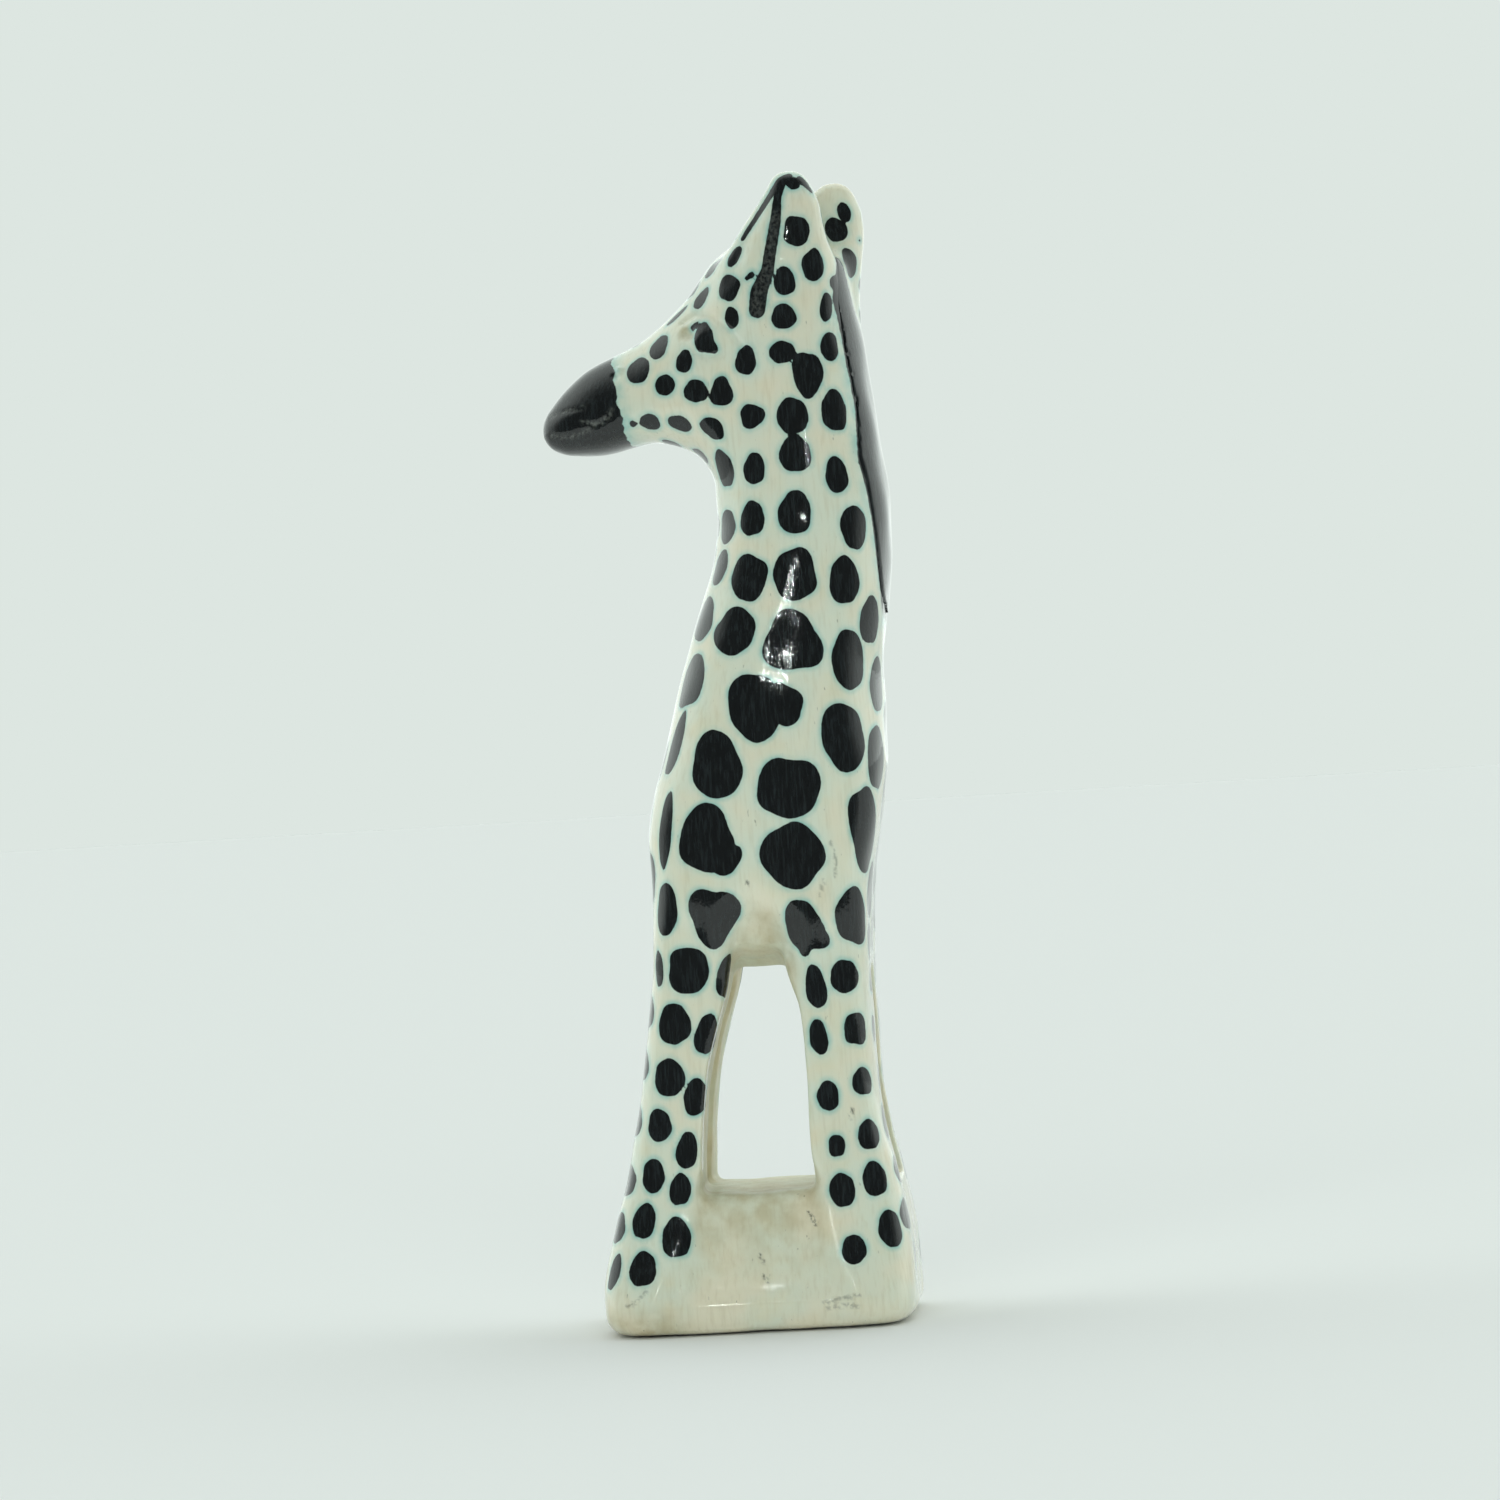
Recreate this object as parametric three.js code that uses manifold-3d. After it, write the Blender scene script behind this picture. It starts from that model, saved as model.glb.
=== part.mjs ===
// A carved, dyed and lacquered giraffe statue, in millimetres, +Z up.
// It faces -X, its left side is -Y, and the origin is the middle of the plinth's underside.
// The real figure is carved from one blank. Each carved region is a solid of its own here, and
// neighbouring regions are parted by a hairline gap, so that each one can be found by name.
import * as THREE from 'three';
import { mergeVertices } from 'three/addons/utils/BufferGeometryUtils.js';
import Module from 'manifold-3d';

const wasm = await Module();
wasm.setup();

// Driving dimensions.
const GAP = 0.3; // hairline between two carved regions
const PLINTH_TOP = 19;
const LEG_TOP = 47;
const SHOULDER_Z = 90; // the trunk ends and the neck begins
const CROWN_Z = 138; // the ears stand up from here
const RING_POINTS = 44;
const LEG_POINTS = 32;
const EAR_POINTS = 28;
const LEG_SLOT_HALF = 3.6; // half of the slot between the left and the right legs
const ARCH_X = 1.6; // middle of the opening under the belly
const ARCH_RADIUS = 6.2;
const ARCH_RISE = 1.5; // how far the belly arch is hollowed into the trunk
const SLOT_ARCH_RADIUS = 5;
const TWIST_AXIS_X = 10; // the neck and head turn about this vertical line
const TWIST_ANGLE = THREE.MathUtils.degToRad(-8); // the nose points a little to the right
const TWIST_START = 92;
const TWIST_END = 126;
const CUTTER = 200; // side of the boxes that part one region from the next
const SLIVER = 0.005; // edges shorter than this, left by a cut, are closed up

// Horizontal sections from the ground up: height, front, back, half depth, squareness.
const PLINTH = [
  [0, -18.3, 18.1, 13.7, 5],
  [0.7, -19.8, 19.5, 15.2, 5],
  [2.2, -20.5, 20.2, 16, 5],
  [6, -20.3, 20.1, 16, 5],
  [11, -19.6, 19.9, 15.8, 4.6],
  [15, -18.3, 19.4, 15.5, 4.2],
  [PLINTH_TOP - GAP / 2, -17.1, 18.8, 15.1, 4],
];
const TRUNK = [
  [LEG_TOP + GAP / 2, -11.9, 16.6, 13.8, 3.4],
  [51, -11.8, 16.9, 14.1, 3.1],
  [56, -11.5, 17.4, 14.2, 2.9],
  [61, -11.4, 18.2, 14.2, 2.7],
  [66, -10.9, 19.5, 13.9, 2.6],
  [71, -9.7, 20, 13.6, 2.5],
  [76, -8.3, 20.1, 13.2, 2.5],
  [81, -7, 20.1, 12.6, 2.4],
  [86, -5.5, 20.3, 12, 2.4],
  [SHOULDER_Z - GAP / 2, -4.3, 20.9, 11.4, 2.4],
];
const COLUMN = [
  [SHOULDER_Z + GAP / 2, -4.2, 20.9, 11.4, 2.4],
  [95, -2.6, 21.8, 10.7, 2.4],
  [100, -1.1, 22.1, 10.1, 2.4],
  [105, -0.3, 22, 9.6, 2.4],
  [110, -0.2, 21.6, 9.3, 2.4],
  [115, -0.2, 21.1, 9.2, 2.4],
  [120, -0.2, 20.7, 9.2, 2.5],
  [126, -0.2, 19.9, 9.2, 2.6],
  [132, 0, 19, 9, 2.6],
  [CROWN_Z - GAP / 2, 1.4, 18.5, 8.8, 2.6],
];
// Upright sections of the face from the nose back: place along X, chin, brow, half depth.
const FACE = [
  [-23.3, 117.2, 119, 1.4],
  [-22.7, 116.1, 120.1, 3],
  [-21.7, 115.1, 121.2, 4.2],
  [-19.5, 114.7, 123.8, 5.3],
  [-16.5, 114.6, 126, 6],
  [-13.6, 115, 127.4, 6.5],
  [-11.2, 115.6, 128.3, 6.8],
  [-8.6, 115.9, 129.5, 7.2],
  [-5.9, 115.3, 131.5, 7.7],
  [-2.9, 114.2, 134.2, 8.2],
  [-0.7, 112.2, 136.8, 8.5],
  [2.5, 111, 139.8, 8.6],
];
const FACE_SQUARENESS = 2.5;
// Horizontal sections of the legs: height, front, back, outer half depth.
const FORE_LEG = [
  [PLINTH_TOP + GAP / 2, -16.8, -6.2, 15],
  [24, -15.7, -5.9, 14.7],
  [29, -14.6, -5.2, 14.4],
  [34, -13.8, -4.2, 14.1],
  [39, -13, -3, 13.9],
  [44, -12.2, -1.5, 13.8],
  [LEG_TOP - GAP / 2, -11.9, -0.9, 13.8],
];
const HIND_LEG = [
  [PLINTH_TOP + GAP / 2, 8.1, 18.5, 15],
  [24, 7.8, 17.5, 14.7],
  [29, 7.7, 16.9, 14.4],
  [34, 7.7, 16.5, 14.1],
  [39, 7.5, 16.5, 13.9],
  [44, 6.2, 16.4, 13.8],
  [LEG_TOP - GAP / 2, 5, 16.5, 13.8],
];
const LEG_SQUARENESS = 3.2;
// Horizontal sections of the ears: height, front, back, inner and outer distance from the middle.
const LEFT_EAR = [
  [CROWN_Z + GAP / 2, 2.8, 17.7, 0.4, 8.7],
  [142, 5.3, 17.3, 0.9, 8.6],
  [145, 7.6, 16.8, 1.4, 8.2],
  [147.4, 9.2, 16.1, 2, 7.6],
  [149.1, 10.5, 14.9, 2.7, 6.7],
  [150, 11.7, 13.4, 3.8, 5.6],
];
const RIGHT_EAR = [
  [CROWN_Z + GAP / 2, 4.2, 19.2, 0.4, 8.7],
  [141.5, 7.2, 19.6, 0.9, 8.6],
  [144, 10, 19.4, 1.4, 8.2],
  [146, 12.4, 18.8, 2, 7.6],
  [147.4, 14, 18, 2.7, 6.7],
  [148, 15.2, 17, 3.8, 5.6],
];
const EAR_SQUARENESS = 2.3;
// The muzzle meets the face along this slanting line, and the mane starts behind the other one.
const MUZZLE_LINE = { low: [-11, 115], high: [-12.4, 128] };
const MANE_LINE = { low: [20.35, 92], high: [17.3, 137] };
const MANE_LOW_Z = 93;
const NECK_LINE = { low: [-1.5, 113], high: [20, 121] };

const BONE = { color: 0xcdd2bd, roughness: 0.3, metalness: 0 };
const DYED_BONE = { color: 0x16191a, roughness: 0.25, metalness: 0 };

/** A point of a rounded rectangle, by its angle. */
function superellipse(angle, halfU, halfV, squareness) {
  const bend = (value) => Math.sign(value) * Math.abs(value) ** (2 / squareness);
  return [halfU * bend(Math.cos(angle)), halfV * bend(Math.sin(angle))];
}

/** One ring of points for a section; place maps its two half sizes to a point. */
function ring(points, halfU, halfV, squareness, place) {
  return Array.from({ length: points }, (_, i) => {
    const [u, v] = superellipse((2 * Math.PI * i) / points, halfU, halfV, squareness);
    return place(u, v);
  });
}

/** A closed skin over rings of equal length, capped at both ends. */
function loft(rings) {
  const count = rings[0].length;
  const positions = rings.flat().flatMap((p) => [p.x, p.y, p.z]);
  const ends = [rings[0], rings.at(-1)];
  for (const end of ends) {
    const middle = end.reduce((sum, p) => sum.add(p), new THREE.Vector3()).divideScalar(count);
    positions.push(middle.x, middle.y, middle.z);
  }
  const first = rings.length * count;
  const triangles = [];
  for (let i = 0; i < count; i += 1) {
    const next = (i + 1) % count;
    for (let r = 0; r < rings.length - 1; r += 1) {
      const [a, b] = [r * count + i, r * count + next];
      const [c, d] = [a + count, b + count];
      triangles.push([a, b, d], [a, d, c]);
    }
    const top = (rings.length - 1) * count;
    triangles.push([first, next, i], [first + 1, top + i, top + next]);
  }
  const geometry = new THREE.BufferGeometry();
  geometry.setAttribute('position', new THREE.Float32BufferAttribute(positions, 3));
  geometry.setIndex(triangles.flat());
  return signedVolume(geometry) > 0 ? geometry : flipped(geometry, triangles);
}

/** Six times the volume that a closed mesh holds, negative when its faces point inwards. */
function signedVolume(geometry) {
  const position = geometry.getAttribute('position');
  const index = geometry.getIndex().array;
  const corner = [new THREE.Vector3(), new THREE.Vector3(), new THREE.Vector3()];
  let total = 0;
  for (let i = 0; i < index.length; i += 3) {
    corner.forEach((p, k) => p.fromBufferAttribute(position, index[i + k]));
    total += corner[0].dot(corner[1].clone().cross(corner[2]));
  }
  return total;
}

/** The same mesh with each triangle turned over. */
function flipped(geometry, triangles) {
  geometry.setIndex(triangles.flatMap(([a, b, c]) => [a, c, b]));
  return geometry;
}

/** A column of horizontal sections about the middle plane. */
function column(table) {
  return loft(table.map(([z, front, back, halfDepth, squareness]) => {
    const middle = (front + back) / 2;
    return ring(RING_POINTS, (back - front) / 2, halfDepth, squareness, (u, v) => (
      new THREE.Vector3(middle + u, v, z)
    ));
  }));
}

/** A leg or an ear: horizontal sections on one side of the middle plane, -1 left or 1 right. */
function sideColumn(table, side, points, squareness) {
  return loft(table.map(([z, front, back, inner, outer]) => {
    const middle = (front + back) / 2;
    const offset = (side * (inner + outer)) / 2;
    return ring(points, (back - front) / 2, (outer - inner) / 2, squareness, (u, v) => (
      new THREE.Vector3(middle + u, offset + v, z)
    ));
  }));
}

/** The wedge of the face: upright sections across X. */
function faceWedge() {
  return loft(FACE.map(([x, chin, brow, halfDepth]) => (
    ring(RING_POINTS, halfDepth, (brow - chin) / 2, FACE_SQUARENESS, (u, v) => (
      new THREE.Vector3(x, u, (chin + brow) / 2 + v)
    ))
  )));
}

/** A closed mesh as a solid that can be joined and cut. */
function solid(geometry) {
  const bare = geometry.clone();
  bare.deleteAttribute('normal');
  bare.deleteAttribute('uv');
  const merged = mergeVertices(bare, 1e-5);
  return new wasm.Manifold(new wasm.Mesh({
    numProp: 3,
    vertProperties: new Float32Array(merged.getAttribute('position').array),
    triVerts: new Uint32Array(merged.getIndex().array),
  }));
}

/** A solid as a mesh again, without the slivers and crumbs that cuts leave. */
function geometryOf(body) {
  const pieces = body.simplify(SLIVER).decompose();
  const [largest] = pieces.sort((one, other) => other.volume() - one.volume());
  const mesh = largest.getMesh();
  const geometry = new THREE.BufferGeometry();
  geometry.setAttribute('position', new THREE.Float32BufferAttribute(mesh.vertProperties, 3));
  geometry.setIndex(Array.from(mesh.triVerts));
  return geometry;
}

/** Everything on the left of a line in the X-Z plane, looking from its low to its high end. */
function leftOf({ low, high }, shift) {
  const along = new THREE.Vector2(high[0] - low[0], high[1] - low[1]);
  const box = new THREE.BoxGeometry(CUTTER, CUTTER, CUTTER);
  box.translate(-CUTTER / 2 + shift, 0, 0);
  box.rotateY(Math.PI / 2 - along.angle());
  box.translate(low[0], 0, low[1]);
  return solid(box);
}

/** Everything below a height. */
function below(z) {
  return solid(new THREE.BoxGeometry(CUTTER, CUTTER, CUTTER).translate(0, 0, z - CUTTER / 2));
}

/** Turns the points above the shoulder about the neck's axis, more with height. */
function twisted(geometry) {
  const position = geometry.getAttribute('position');
  const point = new THREE.Vector3();
  const axis = new THREE.Vector3(0, 0, 1);
  for (let i = 0; i < position.count; i += 1) {
    point.fromBufferAttribute(position, i);
    const turn = TWIST_ANGLE * THREE.MathUtils.smoothstep(point.z, TWIST_START, TWIST_END);
    point.x -= TWIST_AXIS_X;
    point.applyAxisAngle(axis, turn);
    position.setXYZ(i, point.x + TWIST_AXIS_X, point.y, point.z);
  }
  return geometry;
}

/** The trunk, with the arch between the fore and hind legs and the slot's arch cut into it. */
function trunkGeometry() {
  const bottom = LEG_TOP + GAP / 2;
  const belly = new THREE.CylinderGeometry(ARCH_RADIUS, ARCH_RADIUS, CUTTER, RING_POINTS);
  belly.translate(ARCH_X, 0, 0);
  belly.translate(0, 0, bottom + ARCH_RISE - ARCH_RADIUS);
  const slot = new THREE.CylinderGeometry(SLOT_ARCH_RADIUS, SLOT_ARCH_RADIUS, CUTTER, RING_POINTS);
  slot.rotateZ(Math.PI / 2);
  slot.translate(0, 0, bottom + ARCH_RISE - SLOT_ARCH_RADIUS);
  return geometryOf(solid(column(TRUNK)).subtract(solid(belly)).subtract(solid(slot)));
}

/** Neck, mane, head and muzzle, parted from one union of column and face. */
function neckAndHead() {
  const stem = solid(column(COLUMN));
  const whole = stem.add(solid(faceWedge()));
  const beforeMane = leftOf(MANE_LINE, -GAP / 2);
  const mane = stem.subtract(leftOf(MANE_LINE, GAP / 2)).subtract(below(MANE_LOW_Z));
  const maneRoom = stem.subtract(leftOf(MANE_LINE, -GAP / 2)).subtract(below(MANE_LOW_Z - GAP));
  const neck = stem.subtract(leftOf(NECK_LINE, GAP / 2)).subtract(maneRoom);
  const head = whole
    .intersect(leftOf(NECK_LINE, -GAP / 2))
    .intersect(beforeMane)
    .intersect(below(CROWN_Z - GAP / 2))
    .subtract(leftOf(MUZZLE_LINE, GAP / 2));
  const muzzle = whole.intersect(leftOf(MUZZLE_LINE, -GAP / 2));
  return { neck, mane, head, muzzle };
}

const group = new THREE.Group();

/** Adds one named region with its own material. */
function add(name, geometry, look) {
  const shaded = geometry;
  shaded.computeVertexNormals();
  const mesh = new THREE.Mesh(shaded, new THREE.MeshStandardMaterial(look));
  mesh.name = name;
  group.add(mesh);
}

add('plinth', column(PLINTH), BONE);

const sides = [['left', -1], ['right', 1]];
const legs = [['fore_leg', FORE_LEG], ['hind_leg', HIND_LEG]];
for (const [legName, table] of legs) {
  for (const [sideName, side] of sides) {
    const sections = table.map(([z, front, back, outer]) => [z, front, back, LEG_SLOT_HALF, outer]);
    const leg = sideColumn(sections, side, LEG_POINTS, LEG_SQUARENESS);
    add(`${legName}_${sideName}`, leg, BONE);
  }
}

add('trunk', trunkGeometry(), BONE);

const regions = neckAndHead();
add('neck', twisted(geometryOf(regions.neck)), BONE);
add('mane', twisted(geometryOf(regions.mane)), DYED_BONE);
add('head', twisted(geometryOf(regions.head)), BONE);
add('muzzle', twisted(geometryOf(regions.muzzle)), DYED_BONE);
add('ear_left', twisted(sideColumn(LEFT_EAR, -1, EAR_POINTS, EAR_SQUARENESS)), BONE);
add('ear_right', twisted(sideColumn(RIGHT_EAR, 1, EAR_POINTS, EAR_SQUARENESS)), BONE);

export default group;
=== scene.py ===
"""A giraffe carved from bleached bone, dyed with black spots and lacquered.

The carving is worked out as a field of millimetres, as a carver would cut it: a rounded blank, an
opening under the belly, a slot between the legs, a wedge for the face and two tall ears. The skin
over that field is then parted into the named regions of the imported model.
"""

import logging
import math
from collections.abc import Callable, Sequence
from dataclasses import dataclass
from enum import Enum
from functools import partial

import bmesh
import bpy
import numpy as np
from mathutils import Matrix, Vector


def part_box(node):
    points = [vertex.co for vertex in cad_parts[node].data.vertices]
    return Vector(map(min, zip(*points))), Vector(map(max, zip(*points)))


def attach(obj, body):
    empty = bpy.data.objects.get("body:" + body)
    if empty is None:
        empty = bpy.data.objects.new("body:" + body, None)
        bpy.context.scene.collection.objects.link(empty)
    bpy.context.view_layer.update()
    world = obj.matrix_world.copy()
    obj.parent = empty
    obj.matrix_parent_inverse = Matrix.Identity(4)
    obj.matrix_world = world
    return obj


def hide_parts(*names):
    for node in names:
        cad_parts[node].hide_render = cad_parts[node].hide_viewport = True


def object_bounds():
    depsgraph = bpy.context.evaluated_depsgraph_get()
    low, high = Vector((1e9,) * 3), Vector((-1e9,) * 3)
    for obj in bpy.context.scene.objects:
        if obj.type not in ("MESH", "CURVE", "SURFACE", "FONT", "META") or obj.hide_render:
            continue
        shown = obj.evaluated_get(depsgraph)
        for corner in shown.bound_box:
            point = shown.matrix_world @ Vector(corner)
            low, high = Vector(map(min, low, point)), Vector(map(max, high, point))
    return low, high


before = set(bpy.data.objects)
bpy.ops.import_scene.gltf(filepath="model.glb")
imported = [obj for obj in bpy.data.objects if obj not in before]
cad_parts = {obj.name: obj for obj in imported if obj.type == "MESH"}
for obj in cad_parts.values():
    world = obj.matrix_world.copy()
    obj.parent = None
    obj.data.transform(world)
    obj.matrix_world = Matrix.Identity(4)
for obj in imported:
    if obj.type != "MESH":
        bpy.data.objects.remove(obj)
CAD_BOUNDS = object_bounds()

log = logging.getLogger("giraffe")
Array = np.ndarray
Field = Callable[[Array, Array, Array], Array]
MM = 0.001


class Hand(Enum):
    """The figure's own left and right, by the sign of Y."""

    LEFT = -1
    RIGHT = 1


class Slot(Enum):
    """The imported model's material slots."""

    BONE = "bone"
    DYED = "dyed_bone"


def low(node: str) -> Array:
    """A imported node's lowest corner, in millimetres."""
    return np.array(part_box(node)[0]) / MM


def high(node: str) -> Array:
    """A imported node's highest corner, in millimetres."""
    return np.array(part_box(node)[1]) / MM


# Shape tools.


@dataclass(frozen=True)
class Curve:
    """A smooth line through (place, value) knots that never overshoots them."""

    knots: tuple[tuple[float, float], ...]

    def at(self, place: Array) -> Array:
        """Reads the line.

        Args:
            place: Where to read it; beyond the ends it keeps its end value.

        Returns:
            The values there, in the shape of place.
        """
        t, value = np.array(self.knots, dtype=float).T
        slope = np.diff(value) / np.diff(t)
        tangent = np.zeros_like(value)
        tangent[0], tangent[-1] = slope[0], slope[-1]
        product = slope[:-1] * slope[1:]
        total = np.where(product > 0, slope[:-1] + slope[1:], 1.0)
        tangent[1:-1] = np.where(product > 0, 2 * product / total, 0.0)
        place = np.clip(place, t[0], t[-1])
        i = np.clip(np.searchsorted(t, place, side="right") - 1, 0, len(t) - 2)
        width = t[i + 1] - t[i]
        s = (place - t[i]) / width
        rise = 3 * s**2 - 2 * s**3
        leave = (s**3 - 2 * s**2 + s) * width
        arrive = (s**3 - s**2) * width
        return value[i] * (1 - rise) + value[i + 1] * rise + leave * tangent[i] + arrive * tangent[i + 1]


def join(one: Array, other: Array, soft: float) -> Array:
    """The union of two fields, filleted over about soft millimetres."""
    share = np.clip(0.5 + 0.5 * (other - one) / soft, 0, 1)
    return other * (1 - share) + one * share - soft * share * (1 - share)


def common(one: Array, other: Array, soft: float) -> Array:
    """What two fields share, with the edge rounded over about soft millimetres."""
    return -join(-one, -other, soft)


def cut(body: Array, tool: Array, soft: float) -> Array:
    """A field with another one cut out of it and the edge rounded."""
    return common(body, -tool, soft)


def rounded(u: Array, v: Array, half_u: Array, half_v: Array, square: Array | float) -> Array:
    """The field of a rounded rectangle.

    Args:
        u: Distance from its middle along the first side.
        v: Distance from its middle along the second side.
        half_u: Half of the first side.
        half_v: Half of the second side.
        square: 2 for an ellipse, more for squarer corners.

    Returns:
        About the distance to its outline, below zero inside.
    """
    reach = (np.abs(u / half_u) ** square + np.abs(v / half_v) ** square) ** (1 / square)
    near_middle = 0.05
    radius = np.where(
        reach > near_middle,
        np.sqrt(u * u + v * v) / np.maximum(reach, near_middle),
        np.minimum(half_u, half_v),
    )
    return (reach - 1) * radius


def ellipsoid(x: Array, y: Array, z: Array, middle: Sequence[float], radii: Sequence[float]) -> Array:
    """The field of an ellipsoid about middle."""
    parts = [(place - at) / r for place, at, r in zip((x, y, z), middle, radii)]
    reach = np.sqrt(parts[0] ** 2 + parts[1] ** 2 + parts[2] ** 2)
    return (reach - 1) * min(radii)


def tapered_rod(x: Array, y: Array, z: Array, start: Sequence[float], end: Sequence[float]) -> Array:
    """The field of a round-ended rod; start and end are (x, y, z, radius)."""
    along = np.array(end[:3]) - np.array(start[:3])
    length = float(along @ along)
    from_start = (x - start[0]) * along[0] + (y - start[1]) * along[1] + (z - start[2]) * along[2]
    s = np.clip(from_start / length, 0, 1)
    off = [place - start[k] - s * along[k] for k, place in enumerate((x, y, z))]
    return np.sqrt(off[0] ** 2 + off[1] ** 2 + off[2] ** 2) - (start[3] + s * (end[3] - start[3]))


def off_line(points: Array, path: Sequence[Array]) -> Array:
    """Distance of points from the bent line through the places of path."""
    off = np.full(len(points), np.inf)
    for start, end in zip(path, path[1:]):
        off = np.minimum(off, tapered_rod(*points.T, (*start, 0.0), (*end, 0.0)))
    return off


def ramp(value: Array, start: float, end: float) -> Array:
    """Rises smoothly from 0 at start to 1 at end."""
    s = np.clip((value - start) / (end - start), 0, 1)
    return s * s * (3 - 2 * s)


def unit(vectors: Array) -> Array:
    """Vectors of length one, along the last axis."""
    return vectors / np.maximum(np.linalg.norm(vectors, axis=-1, keepdims=True), 1e-9)


# The carved form.


@dataclass(frozen=True)
class Ear:
    """One tall ear, as horizontal sections."""

    hand: Hand
    front: Curve
    back: Curve
    inner: Curve
    outer: Curve
    tip: float
    hollow_foot: tuple[float, float, float, float]
    hollow_tip: tuple[float, float, float, float]
    root: float = 129.0
    square: float = 2.2

    def field(self, x: Array, y: Array, z: Array) -> Array:
        """The ear's field, before its hollow is cut."""
        front, back = self.front.at(z), self.back.at(z)
        inner, outer = self.inner.at(z), self.outer.at(z)
        column = rounded(
            x - (front + back) / 2,
            self.hand.value * y - (inner + outer) / 2,
            (back - front) / 2,
            (outer - inner) / 2,
            self.square,
        )
        column = common(column, z - self.tip, 1.6)
        return common(column, self.root - z, 2.0)

    def hollow(self, x: Array, y: Array, z: Array) -> Array:
        """The field of the gouge that scoops the front of the ear."""
        return tapered_rod(x, self.hand.value * y, z, self.hollow_foot, self.hollow_tip)


LEFT_EAR = Ear(
    hand=Hand.LEFT,
    front=Curve(
        (
            (126, 0.5), (132, 0.9), (138, 2.8), (141.4, 5.2), (144, 7.2), (146, 8.7), (148, 10.0),
            (149.8, 10.8),
        )
    ),
    back=Curve(
        (
            (126, 17.6), (134, 17.6), (139, 17.4), (142, 16.9), (144.8, 16.6), (146.3, 16.1),
            (147.8, 15.3), (149.8, 14.1),
        )
    ),
    inner=Curve(((132, 0.2), (138, 0.4), (141, 1.5), (144, 2.5), (147, 3.2), (149.8, 3.9))),
    outer=Curve(((126, 9.0), (138, 8.8), (142, 8.6), (145, 8.1), (147.4, 7.5), (149.8, 6.6))),
    tip=149.7,
    hollow_foot=(3.4, 10.9, 136.5, 2.8),
    hollow_tip=(10.2, 7.9, 148.4, 1.0),
)
RIGHT_EAR = Ear(
    hand=Hand.RIGHT,
    front=Curve(
        (
            (126, 0.9), (132, 1.6), (138, 4.2), (141.5, 7.2), (144, 9.8), (146, 12.0), (147.4, 13.6),
            (148.8, 14.8),
        )
    ),
    back=Curve(
        (
            (126, 18.6), (133.3, 19.1), (136.2, 19.5), (139, 19.9), (142, 20.2), (144.3, 20.0),
            (146.3, 19.3), (148.8, 18.0),
        )
    ),
    inner=Curve(((132, 0.2), (138, 0.4), (141, 1.5), (144, 2.6), (146, 3.2), (148.8, 4.0))),
    outer=Curve(((126, 9.0), (138, 8.8), (142, 8.5), (144, 8.1), (146, 7.6), (148.8, 6.6))),
    tip=148.7,
    hollow_foot=(5.6, 10.9, 136.0, 2.8),
    hollow_tip=(13.6, 7.9, 147.0, 1.0),
)


@dataclass(frozen=True)
class Blank:
    """The rounded shaft that the figure is cut from: front, back and half depth by height."""

    front: Curve = Curve(
        (
            (0, -20.0), (2.4, -20.5), (5, -20.5), (8, -20.1), (15, -18.3), (19, -17.0), (24, -15.8),
            (29, -14.7), (39, -13.0), (47, -11.8), (60, -11.35), (64, -11.5), (67, -11.2), (70, -10.5),
            (73.5, -9.4), (81, -7.4), (86, -5.9), (95, -2.8), (100, -1.1), (105, -0.3), (126, -0.2),
            (132, 0.2), (138, 1.8), (141, 4.0),
        )
    )
    back: Curve = Curve(
        (
            (0, 19.8), (2.4, 20.2), (11, 19.9), (19, 18.6), (24, 17.5), (32, 16.6), (44, 16.4),
            (52, 16.7), (58.5, 17.4), (62, 18.1), (65, 18.7), (69, 19.4), (73, 19.9), (84, 20.1),
            (92, 21.0), (100, 21.8), (106, 22.0), (115, 21.1), (126, 19.9), (132, 19.0), (138, 18.3),
        )
    )
    depth: Curve = Curve(
        (
            (0, 15.9), (2.4, 16.05), (3.6, 16.05), (5.2, 15.75), (8, 15.15), (12, 14.35), (16, 13.65),
            (19, 13.3), (25, 13.0), (40, 12.8), (48, 12.9), (60, 13.5), (72, 13.6), (84, 12.9),
            (95, 11.7), (106, 10.4), (114, 9.7), (124, 9.2), (138, 8.8),
        )
    )
    square: Curve = Curve(
        (
            (0, 6.0), (12, 6.4), (22, 6.8), (46, 6.4), (58, 5.0), (70, 3.4), (85, 2.5), (138, 2.5),
        )
    )
    crown: float = 139.0

    def field(self, x: Array, y: Array, z: Array) -> Array:
        """The blank's field, with a flat underside and a rounded crown."""
        front, back = self.front.at(z), self.back.at(z)
        shaft = rounded(x - (front + back) / 2, y, (back - front) / 2, self.depth.at(z), self.square.at(z))
        shaft = common(shaft, -z, 3.0)
        return common(shaft, z - self.crown, 2.5)


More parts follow.
